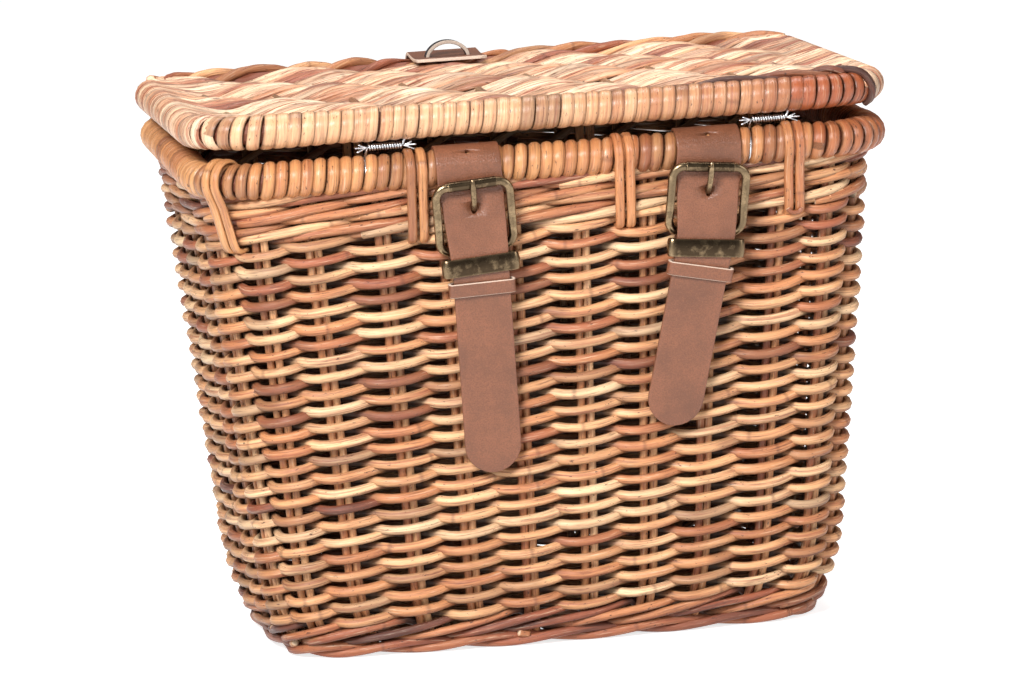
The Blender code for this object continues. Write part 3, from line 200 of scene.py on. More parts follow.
class Bundle:
    """Rods gathered in one mesh. Each vertex keeps its rod's tint, its place in the grain, how much
    painted shade it takes where it lies inside the work, and whether it is on a cut end."""

    def __init__(self):
        self.parts = {key: [] for key in ("co", "quads", "fans", "tint", "grain", "marks")}
        self.count = 0

    def add(self, path, facing, section, tint, closed=False, deep=0.0, raw=0.0, width=1.0, cap=0.35):
        path = np.asarray(path, float)
        along, across, out = path_frames(path, facing, closed)
        section = np.broadcast_to(section, (len(path),) + section.shape[-2:]) * np.reshape(width, (-1, 1, 1))
        deep = np.broadcast_to(deep if np.ndim(deep) == 2 else np.reshape(deep, (-1, 1)), section.shape[:2])
        raw = np.broadcast_to(raw, section.shape[:2])
        tint = np.broadcast_to(np.asarray(tint, float).reshape(-1, 3), path.shape)
        cut = np.zeros(len(path))
        if not closed:
            reach = np.abs(section[[0, -1]]).max((1, 2))[:, None] * cap * 0.5
            path = ends_twice(path)
            path[:1] -= along[:1] * reach[:1]
            path[-1:] += along[-1:] * reach[1:]
            across, out, section, deep, raw, tint = map(ends_twice, (across, out, section, deep, raw, tint))
            section[[0, -1]] *= 0.72
            cut = np.concatenate([[1.0], cut, [1.0]])
        n, m = section.shape[:2]
        co = path[:, None] + section[..., :1] * across[:, None] + section[..., 1:] * out[:, None]
        steps = np.linalg.norm(np.diff(path, axis=0), axis=1)
        length = np.concatenate([[0.0], np.cumsum(steps)]) + chance.uniform(0, 40)
        grain = np.concatenate([np.broadcast_to(length[:, None, None], (n, m, 1)), section], 2)
        cut = np.broadcast_to(cut[:, None], (n, m))
        # marks: painted shade, raw or cut edge, cut end.
        marks = np.stack([deep, np.maximum(raw, cut), cut], 2)
        tint = np.broadcast_to(tint[:, None], (n, m, 3))
        i = np.arange(n if closed else n - 1)[:, None]
        j = np.arange(m)[None]
        i2, j2 = (i + 1) % n, (j + 1) % m
        quads = np.stack(np.broadcast_arrays(i * m + j, i * m + j2, i2 * m + j2, i2 * m + j), 2)
        self.parts["quads"].append(quads.reshape(-1, 4) + self.count)
        co, grain, marks, tint = (v.reshape(-1, 3) for v in (co, grain, marks, tint))
        if not closed:
            ring = np.arange(m)
            for first, centre, order in ((0, n * m, -1), ((n - 1) * m, n * m + 1, 1)):
                fan = np.stack([np.full(m, centre), first + ring, first + (ring + order) % m], 1)
                self.parts["fans"].append(fan + self.count)
            ends = np.array([0, (n - 1) * m])
            co = np.concatenate([co, path[[0, -1]]])
            grain, marks, tint = (np.concatenate([v, v[ends]]) for v in (grain, marks, tint))
        for key, values in (("co", co), ("grain", grain), ("marks", marks), ("tint", tint)):
            self.parts[key].append(values)
        self.count += len(co)

    def piece(self, name, finish, place=None):
        got = {key: np.concatenate(values) for key, values in self.parts.items() if values}
        co = got["co"]
        if place is not None:
            matrix = np.array(place)
            co = co @ matrix[:3, :3].T + matrix[:3, 3]
        quads, fans = got["quads"], got.get("fans", np.zeros((0, 3), int))
        loops = np.concatenate([quads.ravel(), fans.ravel()])
        starts = np.concatenate([np.arange(len(quads)) * 4, len(quads) * 4 + np.arange(len(fans)) * 3])
        mesh = bpy.data.meshes.new(name)
        mesh.vertices.add(len(co))
        mesh.vertices.foreach_set("co", co.ravel())
        mesh.loops.add(len(loops))
        mesh.loops.foreach_set("vertex_index", loops)
        mesh.polygons.add(len(starts))
        mesh.polygons.foreach_set("loop_start", starts)
        mesh.polygons.foreach_set("use_smooth", np.ones(len(starts), bool))
        mesh.update(calc_edges=True)
        for key in ("tint", "grain", "marks"):
            mesh.attributes.new(key, "FLOAT_VECTOR", "POINT").data.foreach_set("vector", got[key].ravel())
        mesh.materials.append(finish)
        item = bpy.data.objects.new(name, mesh)
        bpy.context.scene.collection.objects.link(item)
        return item


def single(name, finish, path, facing, section, tint=PLAIN, place=None, **more):
    """A piece that is one strip, band, bar or wire."""
    bundle = Bundle()
    bundle.add(path, facing, section, tint, **more)
    return bundle.piece(name, finish, place)


def rod_tint(low=2.2, high=3.0, tones=None):
    """Tone from pale to dark, lightness and a spare number for one rod; most rods are pale."""
    tint = np.array([chance.beta(low, high), chance.random(), chance.random()])
    if tones:
        tint[0] = chance.uniform(*tones)
    return tint


# The wall's outline at each height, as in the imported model.
def down_share(z):
    return np.clip(1 - z / RIM_Z, 0, 1)


def wall_sizes(z):
    share = down_share(z)
    pinch = PINCH_DEPTH * np.maximum(0, 1 - z / PINCH_HEIGHT) ** 2
    return (lerp(*WALL_HALF_WIDTH, share) - pinch, lerp(*WALL_HALF_DEPTH, share) - pinch,
            lerp(*WALL_CORNER, share), lerp(*WALL_BOW, share))


def outline_lengths(half_width, half_depth, corner):
    """Where each corner and side starts, measured anticlockwise from the front right corner."""
    legs = [corner * np.pi / 2, 2 * (half_depth - corner), corner * np.pi / 2, 2 * (half_width - corner)] * 2
    return np.concatenate([[0.0], np.cumsum(legs)])


def outline_at(length, half_width, half_depth, corner, bow=0.0):
    """The points and outward directions at these lengths along a rounded rectangle."""
    marks = outline_lengths(half_width, half_depth, corner)
    turns = np.interp(np.mod(length, marks[-1]), marks, np.arange(9.0))
    leg = np.minimum(turns.astype(int), 7)
    part = turns - leg
    index = leg // 2
    on_corner = leg % 2 == 0
    angle = np.where(on_corner, np.pi / 2 * (index - 1 + part), np.pi / 2 * index)
    out = np.stack([np.cos(angle), np.sin(angle)], 1)
    signs = np.array([(1, -1), (1, 1), (-1, 1), (-1, -1)], float)
    centres = signs * np.array([half_width - corner, half_depth - corner])
    along = np.where(on_corner, 0.0, part)[:, None]
    swell = np.where(on_corner, 0.0, bow * (1 - (2 * part - 1) ** 2))[:, None]
    return lerp(centres[index], centres[(index + 1) % 4], along) + out * (corner + swell), out


def all_round(half_width, half_depth, corner, count):
    total = outline_lengths(half_width, half_depth, corner)[-1]
    return outline_at(np.linspace(0, total, count, endpoint=False), half_width, half_depth, corner)


def pair_lengths(z):
    """Where the stake pairs stand at height z, as lengths along the wall's outline."""
    half_width, half_depth, corner, _ = wall_sizes(z)
    marks = outline_lengths(half_width, half_depth, corner)
    arc = marks[1]
    near, far = (arc * degrees / 90 for degrees in CORNER_PAIRS)
    ends = half_depth - corner + np.array(END_PAIRS) * half_depth
    long = half_width - corner + np.array(FRONT_PAIRS) * half_width
    places = []
    for leg, (first, second, side) in enumerate(((near, far, ends), (arc - far, arc - near, long)) * 2):
        places += [marks[2 * leg] + first, marks[2 * leg] + second]
        places += list(marks[2 * leg + 1] + side)
    return np.array(places), marks[-1]


def wall_at(station, z, offset=0.0, sideways=0.0):
    """Points of the wall at these stations, counted in stake pairs, all at one height."""
    places, total = pair_lengths(z)
    wrapped = np.mod(station, PAIRS)
    length = np.interp(wrapped, np.arange(PAIRS + 1), np.append(places, places[0] + total)) + sideways
    half_width, half_depth, corner, bow = wall_sizes(z)
    flat, out = outline_at(length, half_width, half_depth, corner, bow)
    points = raised(flat + out * np.reshape(offset, (-1, 1)), z)
    points[:, 1] += SET_BACK
    return points, raised(out)


def wall_points(stations, heights, offsets, sideways=0.0):
    """Points of the wall where each has its own height."""
    each = zip(*np.broadcast_arrays(stations, heights, offsets, sideways))
    points, facing = zip(*(wall_at(np.array([s]), z, out, aside) for s, z, out, aside in each))
    return np.concatenate(points), np.concatenate(facing)


WANDER = chance.normal(0, 1, (4, 3))


def wander(station, z):
    """The slow rise and fall of the rows round the wall."""
    turn = 2 * np.pi * station / PAIRS
    rise = sum(a * np.sin((k + 1) * turn + b * 3 + z * (20 + 9 * c)) / (k + 1.5)
               for k, (a, b, c) in enumerate(WANDER))
    return 0.0005 * rise


def shade_inside(deep, inward, amount=0.6, under=None):
    """Painted shade: darker where a rod lies behind others, on the side that it turns inward and along its
    underside.
    """
    shade = np.maximum(np.reshape(deep, (-1, 1)) * np.clip(0.9 - 1.3 * inward, 0, 1)[None],
                       amount * np.clip(inward + 0.15, 0, 1)[None])
    if under is not None:
        shade = np.maximum(shade, 0.85 * np.clip(under - 0.3, 0, 1)[None])
    return shade


def uneven(count, amount=0.035, knots=5):
    """Slight swellings along a rod."""
    few = 1 + amount * chance.normal(0, 1, max(count // knots, 2))
    return np.interp(np.linspace(0, 1, count), np.linspace(0, 1, len(few)), few)


def lay_weaver(bundle, points, radius, swing, tint, taper, thicker=1.0):
    """A rod of the wall: swing is 1 where it passes in front of the stakes and -1 behind them."""
    ring = round_section(1.0)
    # Painted shade where the rod passes behind the stakes, on its inward side and underneath.
    deep = shade_inside(np.clip(0.2 - 1.2 * swing, 0, 1), ring[:, 0], under=-ring[:, 1])
    width = np.linspace(*taper, len(points)) * uneven(len(points)) * thicker
    bundle.add(points, UP, round_section(radius), tint, deep=deep, width=width)


def weave_row(bundle, row, z):
    """One round of the wall, made of rods that start and end behind the stakes."""
    nudge = chance.normal(0, 0.00028, PAIRS)
    push = chance.normal(0, 0.00022, PAIRS)
    start = 1 + row % 2 + 2 * chance.integers(0, PAIRS // 2)
    last = start + PAIRS
    while start < last:
        run = int(2 * chance.integers(4, 11))
        end = start + run if last - start - run >= 8 else last
        steps = int((end - start + 2 * WEAVER_TAIL) * STEPS_BETWEEN_PAIRS)
        station = np.linspace(start - WEAVER_TAIL, end + WEAVER_TAIL, steps)
        swing = np.tanh(1.1 * np.cos(np.pi * (station + row))) / math.tanh(1.1)
        points, out = wall_at(station, z)
        radius = WEAVER_RADIUS * chance.normal(1.0, 0.045)
        local, bulge = (np.interp(station, np.arange(PAIRS), few, period=PAIRS) for few in (nudge, push))
        tuck = np.clip(np.minimum(station - station[0], station[-1] - station) / 0.5, 0, 1)
        behind = np.clip(1.5 * out[:, 1], 0, 1)
        offset = STAKE_DEPTH + WEAVER_SWING * (1 - 0.1 * behind) * swing + bulge - 0.0012 * (1 - tuck)
        rise = -lerp(*CROSSING_DIP, down_share(z)) * np.where(swing > 0, swing, swing * BEHIND_RISE)
        rise += CROSSING_LEAN * (1 - behind) * np.sin(np.pi * (station + row))
        points += out * offset[:, None]
        points[:, 2] += rise + local + wander(station, z)
        lay_weaver(bundle, points, radius, swing, rod_tint(), WEAVER_TAPER, 1 + 0.2 * behind)
        start = end


def weave_wall(finish):
    rows = int((WALING_LOW - WEAVE_LOW) / ROW_PITCH) + 1
    for name, part in zip(("low", "middle", "high"), np.array_split(np.arange(rows), 3)):
        bundle = Bundle()
        for row in part:
            weave_row(bundle, int(row), WEAVE_LOW + (row + 0.5) * ROW_PITCH)
        yield bundle.piece("wall_weave_" + name, finish)


def set_stakes(finish):
    bundle = Bundle()
    levels = np.linspace(0.0050, RIM_Z - RIM_CORE, STAKE_LEVELS)
    share = np.arange(STAKE_LEVELS) / (STAKE_LEVELS - 1)
    # Painted shade on each stake's inward side.
    deep = shade_inside(np.full(STAKE_LEVELS, 0.1), -round_section(1.0)[:, 1])
    for pair in range(PAIRS):
        for side, tones in ((-1, (0.45, 0.8)), (1, (0.15, 0.5))):
            lean = chance.normal(0, 0.00035, 2)
            aside = side * STAKE_APART / 2 + lerp(*lean, share)
            points, facing = wall_points(float(pair), levels, STAKE_DEPTH, aside)
            bundle.add(points, facing, round_section(STAKE_RADIUS), rod_tint(tones=tones), deep=deep)
    return bundle.piece("stakes", finish)


def smooth_path(points, steps=4):
    """A finer path through the same points."""
    points = np.asarray(points, float)
    padded = np.vstack([2 * points[0] - points[1], points, 2 * points[-1] - points[-2]])
    fine = []
    for i in range(len(points) - 1):
        a, b, c, d = padded[i:i + 4]
        for t in np.arange(steps) / steps:
            fine.append(0.5 * (2 * b + (c - a) * t + (2 * a - 5 * b + 4 * c - d) * t ** 2
                               + (3 * b - a - 3 * c + d) * t ** 3))
    return np.array(fine + [points[-1]])


def arc(radius, degrees):
    return [(radius * math.cos(a), radius * math.sin(a)) for a in np.radians(degrees)]


def route_normals(route):
    """Which way a route of (out, up) points faces."""
    steps = np.gradient(route[:, :2], axis=0)
    return unit(np.stack([steps[:, 1], -steps[:, 0]], 1))


def wall_face(z, x=0.0, corner=False, outer=True):
    """How far the wall's face lies out from the rim's centre line, at x on a long side or at a corner."""
    half_width, half_depth, radius, bow = (float(v) for v in wall_sizes(z))
    half = WALL_THICK / 2 * (1 if outer else -1)
    if not corner:
        swell = bow * max(0, 1 - (x / (half_width - radius)) ** 2)
        return half_depth + swell + half - RIM_HALF_DEPTH
    diagonal = math.sqrt(0.5)
    wall = (half_width + half_depth - 2 * radius) * diagonal + radius
    rim = (RIM_HALF_WIDTH + RIM_HALF_DEPTH - 2 * RIM_CORNER) * diagonal + RIM_CORNER
    return wall - rim + half


# Lashings: two flat strands over the rim, tucked in under the slanted band.
LASHING_STRAND = 0.0046
LASHING_THICK = 0.0020
LASHINGS = 8
FIRST_AT_CORNER = 6


def split_cane_section(width, thick):
    """A flat cane strand with the fine split along its face."""
    across = np.array([0.5, 0.42, 0.27, 0.12, 0.0, -0.12, -0.27, -0.42, -0.5]) * width
    top = np.array([0.15, 0.72, 0.95, 1.0, 0.9, 1.0, 0.95, 0.72, 0.15]) * thick
    below = np.array([[-0.4 * width, -0.1 * thick], [0.0, 0.0], [0.4 * width, -0.1 * thick]])
    return np.concatenate([np.stack([across, top], 1), below]) - np.array([0.0, thick / 2])


def tie_lashing(number, finish):
    """One lashing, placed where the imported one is."""
    name = f"rim_lashing_{number}"
    spot, low_z = middle(name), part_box(name)[0].z
    corner = number >= FIRST_AT_CORNER
    if corner:
        outward = Vector((math.copysign(1, spot.x), math.copysign(1, spot.y), 0)).normalized()
        inward = RIM_CORNER * (1 - math.sqrt(0.5))
        centre = Vector((math.copysign(RIM_HALF_WIDTH - inward, spot.x),
                         math.copysign(RIM_HALF_DEPTH - inward, spot.y), 0))
    else:
        outward = Vector((0, math.copysign(1, spot.y), 0))
        centre = Vector((spot.x, math.copysign(RIM_HALF_DEPTH, spot.y), 0))
    across = Vector((-outward.y, outward.x, 0))

    def place(out, aside, up):
        point = centre + outward * out + across * aside + Vector((0, 0, up))
        return point.x, point.y + SET_BACK, point.z

    half = LASHING_THICK / 2
    x = centre.x
    outer = wall_face(low_z, x, corner) + half + 0.0006
    under = RIM_Z - RIM_RADIUS - LASHING_THICK * 2
    foot_z = RIM_Z - 0.0235
    route = [(outer - 0.0085, low_z - 0.0012), (outer - 0.0040, low_z - 0.0016), (outer, low_z + 0.0010),
             (outer + (0.0034 if corner else 0.0022), lerp(low_z, under, 0.5)),
             (wall_face(under, x, corner) + half + (0.0052 if corner else 0.0026), under)]
    radius = RIM_RADIUS + half + (0.0009 if corner else 0.0006)
    route += [(c, RIM_Z + s) for c, s in arc(radius, (-35, -5, 25, 55, 85, 115, 145, 175, 195))]
    route += [(wall_face(under, x, corner, False) - half - 0.0012, under),
              (wall_face(foot_z, x, corner, False) - half - 0.001, foot_z)]
    route = smooth_path(route, 3)
    normal = route_normals(route)
    facing = np.array(outward)[None] * normal[:, :1] + UP * normal[:, 1:]
    base = rod_tint()
    if spot.y < 0:
        base[0] = lerp(0.5, 0.95, (spot.x + RIM_HALF_WIDTH) / (2 * RIM_HALF_WIDTH))
    bundle = Bundle()
    for side in (-1, 1):
        share = np.linspace(0, 1, len(route))
        asides = side * (LASHING_STRAND / 2 + 0.0004 + 0.0004 * math.sin(number * 1.9 + side) * share)
        points = np.array([place(out, aside, up) for (out, up), aside in zip(route, asides)])
        bundle.add(points, facing, split_cane_section(LASHING_STRAND, LASHING_THICK),
                   base * 0.8 + rod_tint() * 0.2)
    if spot.y < 0 and spot.x > 0.5 * RIM_HALF_WIDTH and not corner:
        loop = [place(outer + 0.0012, -0.0036 * c, low_z + 0.0024 + 0.0034 * s)
                for c, s in arc(1.0, np.arange(200, 341, 20))]
        bundle.add(loop, np.array(outward), split_cane_section(0.0024, 0.0015), base)
    return bundle.piece(f"lashing_{number}", finish)


# Straps and buckles, left and right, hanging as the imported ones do.
STRAP_X = (-0.0380, 0.0775)
STRAP_WIDTH = 0.0310
STRAP_TAIL_WIDTH = 0.0270
STRAP_THICK = 0.0018
STRAP_TAIL_ENDS = (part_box("left_strap")[0].z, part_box("right_strap")[0].z)
BUCKLE_LEAN = (math.radians(4), math.radians(-5))
TAIL_LEAN = (math.radians(2), math.radians(-12))
BUCKLE_BAR = 0.0015
BUCKLE_TALL = 0.0320
BUCKLE_HEEL_Z = RIM_Z - 0.0391
BUCKLE_WIDTH = 0.0385
BUCKLE_CORNER = 0.0056
ROLLER_RADIUS = 0.0026
ROLLER_LENGTH = 0.0235
PRONG_RADIUS = 0.0009
METAL_KEEPER_TALL = 0.0085
LEATHER_KEEPER_TALL = 0.0065
SEAT = 0.0004
GAP = 0.0003
STRAP_OUT = wall_face(BUCKLE_HEEL_Z) + SEAT + 2.5 * STRAP_THICK + 2 * BUCKLE_BAR + 3 * GAP
HEEL_OUT = STRAP_OUT - 1.5 * STRAP_THICK - 2 * GAP - BUCKLE_BAR
ROLLER_OUT = STRAP_OUT + STRAP_THICK / 2 + GAP + ROLLER_RADIUS
METAL_KEEPER_Z = BUCKLE_HEEL_Z - BUCKLE_BAR - 0.0030 + STRAP_THICK - METAL_KEEPER_TALL / 2
TAIL_BEND_Z = METAL_KEEPER_Z - METAL_KEEPER_TALL / 2
SLOT_Z = BUCKLE_HEEL_Z - 0.0100


def strap_x(which, z):
    upper = np.clip(RIM_Z - z, 0, RIM_Z - BUCKLE_HEEL_Z)
    lower = np.maximum(BUCKLE_HEEL_Z - z, 0)
    return STRAP_X[which] + (upper * math.tan(BUCKLE_LEAN[which]) + lower * math.tan(TAIL_LEAN[which]))


def tail_out(which, z):
    end_z = STRAP_TAIL_ENDS[which]
    end_out = wall_face(end_z) + 0.0035 + STRAP_THICK / 2
    return lerp(end_out, STRAP_OUT, min((z - end_z) / (TAIL_BEND_Z - end_z), 1))


def strap_route(which):
    """(out, up, width) from the tail's round end past the buckle, over the rim, down inside the wall,
    out through its slot and round the buckle's heel bar."""
    end_z = STRAP_TAIL_ENDS[which]
    half = STRAP_TAIL_WIDTH / 2
    narrow = STRAP_TAIL_WIDTH
    roller_z = BUCKLE_HEEL_Z + BUCKLE_TALL
    route = []
    for degrees in (4, 9, 16, 25, 35, 47, 60, 75, 90):
        angle = math.radians(degrees)
        z = end_z + half * (1 - math.cos(angle))
        route.append((tail_out(which, z), z, narrow * math.sin(angle)))
    route += [(tail_out(which, z), z, narrow) for z in np.linspace(end_z + half, TAIL_BEND_Z, 9)[1:]]
    route += [(STRAP_OUT - 0.0004 * share, lerp(TAIL_BEND_Z, roller_z, share),
               lerp(narrow, STRAP_WIDTH, share)) for share in (0.15, 0.35, 0.55, 0.75)]
    route.append((STRAP_OUT - 0.0009, roller_z - ROLLER_RADIUS, STRAP_WIDTH))
    radius = RIM_RADIUS + SEAT + 0.0006 + STRAP_THICK / 2
    route += [(c, RIM_Z + s, STRAP_WIDTH) for c, s in arc(radius, range(8, 190, 16))]
    low = SLOT_Z + STRAP_THICK * 1.5
    middle_z = lerp(low, RIM_Z - RIM_RADIUS, 0.6)
    edges = [STRAP_X[which] + sign * STRAP_WIDTH / 2 for sign in (-1, 1)]
    stand = STRAP_THICK / 2 + 2 * SEAT
    inner, upper = (min(wall_face(z, x, outer=False) for x in edges) - stand for z in (low, middle_z))
    outer = wall_face(SLOT_Z)
    back = HEEL_OUT - BUCKLE_BAR - GAP - STRAP_THICK / 2
    route += [(upper, middle_z, STRAP_WIDTH), (inner, low, narrow),
              (inner + STRAP_THICK * 0.5, SLOT_Z + STRAP_THICK * 0.45, narrow),
              (inner + STRAP_THICK * 1.6, SLOT_Z, narrow), (outer - STRAP_THICK * 0.2, SLOT_Z, narrow),
              (back - STRAP_THICK * 0.2, SLOT_Z + STRAP_THICK * 0.7, narrow),
              (back, SLOT_Z + STRAP_THICK * 2.2, narrow)]
    fold = BUCKLE_BAR + GAP + STRAP_THICK / 2
    route += [(HEEL_OUT + c, BUCKLE_HEEL_Z + s, narrow) for c, s in arc(fold, range(180, -21, -25))]
    return smooth_path(route, 3)


def in_frame(matrix, points):
    return np.array([matrix @ Vector(point) for point in points])


def punch(item, spot, direction, radii, length):
    """Punch an oval hole through leather."""
    bpy.ops.object.select_all(action="DESELECT")
    turn = direction.to_track_quat("Z", "Y")
    bpy.ops.mesh.primitive_cylinder_add(vertices=24, radius=1, depth=length, location=spot,
                                        rotation=turn.to_euler())
    cutter = bpy.context.object
    cutter.scale = (*radii, 1)
    bpy.ops.object.select_all(action="DESELECT")
    bpy.context.view_layer.objects.active = item
    item.select_set(True)
    step = item.modifiers.new("hole", "BOOLEAN")
    step.object = cutter
    step.solver = "EXACT"
    bpy.ops.object.modifier_apply(modifier="hole")
    bpy.data.objects.remove(cutter)
    item.select_set(False)


def buckle_frame(which, out=0.0, up=0.0):
    """Local X along the heel bar, Y in towards the wall and Z up the leaning buckle."""
    x = strap_x(which, BUCKLE_HEEL_Z)
    return (Matrix.Translation((x, RIM_FRONT_Y, BUCKLE_HEEL_Z))
            @ Matrix.Rotation(-BUCKLE_LEAN[which], 4, "Y") @ Matrix.Translation((0, -out, up)))


def cut_strap(which, finish):
    route = strap_route(which)
    normal = route_normals(route)
    facing = columns(0, -normal[:, 0], normal[:, 1])
    x = strap_x(which, route[:, 1])
    points = columns(x, RIM_FRONT_Y - route[:, 0], route[:, 1])
    section, raw = leather_band(route[:, 2], STRAP_THICK, 0.00045, 0.0011)
    strap = single(SIDES[which] + "_strap_leather", finish, points, facing, section,
                   (0.5, chance.random(), 0.5), raw=raw, cap=0.0)
    top = (strap_x(which, RIM_Z), RIM_FRONT_Y - RIM_RADIUS * 0.7, RIM_Z + 0.0062)
    punch(strap, top, Vector((0, -1, 0.9)), (0.0012, 0.0012), 0.006)
    at_prong = buckle_frame(which) @ Vector((0, -STRAP_OUT, BUCKLE_TALL * 0.64))
    punch(strap, at_prong, Vector((0, -1, 0)), (0.0015, 0.0030), 0.004)
    return strap


def round_bar_section(width, tall, points=12, power=2.6):
    turn = 2 * np.pi * np.arange(points) / points
    c, s = np.cos(turn), np.sin(turn)
    return np.stack([np.sign(c) * np.abs(c) ** (2 / power) * width / 2,
                     np.sign(s) * np.abs(s) ** (2 / power) * tall / 2], 1)


def cast_buckle(which, finish):
    matrix = buckle_frame(which)
    flat, _ = all_round(BUCKLE_WIDTH / 2 - BUCKLE_BAR, BUCKLE_TALL / 2, BUCKLE_CORNER, 96)
    up = flat[:, 1] + BUCKLE_TALL / 2
    depth = lerp(HEEL_OUT, ROLLER_OUT, up / BUCKLE_TALL) + 0.0006 * np.sin(np.pi * up / BUCKLE_TALL)
    points = in_frame(matrix, columns(flat[:, 0], -depth, up))
    return single(SIDES[which] + "_buckle_bar", finish, points, in_frame(matrix.to_3x3(), [(0, -1, 0)]),
                  round_bar_section(0.0042, 0.0036), closed=True)


def roll_roller(which, finish):
    """A rolled tube on the buckle's top bar; its seam is a fine step along it."""
    matrix = buckle_frame(which, ROLLER_OUT, BUCKLE_TALL)
    out = swung(AWAY, UP, np.linspace(0, 2 * np.pi, 36, endpoint=False))
    return single(SIDES[which] + "_roller_tube", finish, in_frame(matrix, out * (ROLLER_RADIUS - 0.00045)),
                  in_frame(matrix.to_3x3(), out), band_section(ROLLER_LENGTH, 0.0007, 0.0003), closed=True)


# A prong's path: how far out and how far up from the heel bar to the roller.
PRONG_SHARES = ((0.02, 0.15), (0.16, 0.41), (0.31, 0.545), (0.66, 0.675), (0.86, 0.81), (0.945, 0.925),
                (1.0, 1.0), (1.0, 1.075))


def bend_prong(which, finish):
    matrix = buckle_frame(which, HEEL_OUT)
    hub = BUCKLE_BAR + 0.00025 + PRONG_RADIUS
    depth = ROLLER_OUT - HEEL_OUT + ROLLER_RADIUS + SEAT + PRONG_RADIUS + hub
    points = [(0, -c, s) for c, s in arc(hub, range(55, -181, -26))]
    points += [(0, hub - depth * out, BUCKLE_TALL * up) for out, up in PRONG_SHARES]
    path = smooth_path(points, 4)
    width = np.interp(np.linspace(0, 1, len(path)), (0, 0.9, 1), (1.05, 1.05, 0.62))
    return single(SIDES[which] + "_prong_wire", finish, in_frame(matrix, path),
                  in_frame(matrix.to_3x3(), [(1, 0, 0)]), round_bar_section(0.0023, 0.0028, 12, 2.3),
                  width=width, cap=0.6)


def fold_keeper(name, finish, matrix, half_width, half_thick, section, tint=PLAIN, raw=0.0):
    """A flat strip folded into a rectangular loop round the strap; its width stands along local Z."""
    flat, out = all_round(half_width, half_thick, min(half_thick * 0.8, 0.0016), 72)
    return single(name, finish, in_frame(matrix, raised(flat)), in_frame(matrix.to_3x3(), raised(out)),
                  section, tint, closed=True, raw=raw)


def add_keepers(which, brass, leather):
    side = SIDES[which]
    clear = STRAP_THICK / 2 + 0.0005
    spot = buckle_frame(which, STRAP_OUT, METAL_KEEPER_Z - BUCKLE_HEEL_Z)
    metal = fold_keeper(side + "_brass_keeper", brass, spot, BUCKLE_WIDTH / 2 - 0.0015, clear + 0.0006,
                        strip_section(METAL_KEEPER_TALL, 0.0009, 0.0006, 11))
    z = middle(side + "_leather_keeper").z
    end_z = STRAP_TAIL_ENDS[which]
    slope = (tail_out(which, TAIL_BEND_Z) - tail_out(which, end_z)) / (TAIL_BEND_Z - end_z)
    up = Vector((-math.tan(TAIL_LEAN[which]), -slope, 1)).normalized()
    across = Vector((1, 0, 0)) - up * up.x
    across.normalize()
    matrix = Matrix((across, up.cross(across), up)).transposed().to_4x4()
    matrix.translation = (strap_x(which, z), RIM_FRONT_Y - tail_out(which, z), z)
    band, raw = leather_band(LEATHER_KEEPER_TALL, 0.0015)
    loop = fold_keeper(side + "_leather_loop", leather, matrix, STRAP_TAIL_WIDTH / 2 + 0.0018,
                       clear + 0.0008, band, (0.35, 0.4, 0.5), raw)
    return metal, loop


# Wire links: a loop round the rim, a straight middle and a loop round the lid bar.
HINGE_WIRE = 0.0007
WOUND_WIRE = 0.0005
WIRE_END = 0.00045
COIL_LENGTH = 0.0160
COIL_TURNS = 13


def bend_hinge(side, finish):
    spot = middle(side + "_hinge_coil")
    reach = COIL_LENGTH / 2 + 0.0005 + HINGE_WIRE * 2

    def loop(y, z, radius, start, sign):
        share = np.linspace(0, 1, 40)
        angle = np.radians(start + 335 * share)
        x = spot.x + sign * reach + sign * 0.0026 * share
        return columns(x, y + radius * np.cos(angle), z + radius * np.sin(angle))

    rim_turn = loop(RIM_FRONT_Y, RIM_Z, RIM_RADIUS - 0.0010, 90, -1)
    lid_turn = loop(*JOINTS["lid_hinge"]["pos_m"][1:], LID_RADIUS - 0.0010, -90, 1)
    core = columns(spot.x + np.linspace(-1, 1, 5) * (reach - 2 * HINGE_WIRE), spot.y, spot.z)
    wire = Bundle()
    path = np.concatenate([rim_turn[::-1], core, lid_turn])
    wire.add(path, (0.31, 0.2, 0.93), round_section(HINGE_WIRE), PLAIN)
    for sign in (-1, 1):
        end = np.array([spot.x + sign * COIL_LENGTH / 2, spot.y, spot.z])
        for k, (out, up) in enumerate(((0.9, 0.35), (0.8, -0.45), (0.55, 0.05))):
            tip = end + (sign * (0.0046 + 0.0010 * k), -0.0016 * out - 0.0008 * k, 0.0044 * up)
            bow = end + (sign * 0.0020, -0.0014, 0.0010 * up)
            wire.add(smooth_path([end, bow, tip], 5), (0.0, 1.0, 0.2), round_section(WIRE_END, 6), PLAIN)
    link = wire.piece(side + "_hinge_wire", finish)
    facing = swung(AWAY, UP, np.linspace(0, 2 * np.pi * COIL_TURNS, COIL_TURNS * 14))
    coil = np.array(spot) + facing * (HINGE_WIRE + 0.00065)
    coil[:, 0] = spot.x + np.linspace(-0.5, 0.5, len(coil)) * COIL_LENGTH
    return link, single(side + "_hinge_winding", finish, coil, facing, round_section(WOUND_WIRE, 6))


# The latch: a leather tab on the lid with its pull loop, and a flap that hangs behind.
LATCH_WIDTH = 0.0360
LATCH_THICK = 0.0018
LATCH_X, LATCH_Y, LATCH_Z = Vector(JOINTS["latch_swing"]["pos_m"])
TAB_LENGTH = 0.0260
TAB_START = LID_RADIUS + LATCH_THICK
FLAP_LENGTH = 0.0540
FLAP_STRAIGHT = 0.72
LID_CROWN = 0.0040


def lid_crown(x, y):
    width, depth = LID_HALF_WIDTH - LID_RADIUS, LID_HALF_DEPTH - LID_RADIUS
    return LID_CROWN * np.maximum(0, 1 - (x / width) ** 2) * np.maximum(0, 1 - (y / depth) ** 2)


def tab_height(y):
    t = min(max(1 + (y + TAB_START) / TAB_LENGTH, 0), 1)
    rise = float(lid_crown(LATCH_X, LID_HALF_DEPTH - LID_RADIUS - GAP + y))
    low = 0.0045 + SEAT + LATCH_THICK / 2 + rise + 0.0006
    return lerp(low, LID_RADIUS + SEAT + LATCH_THICK * 0.25, t ** 2)


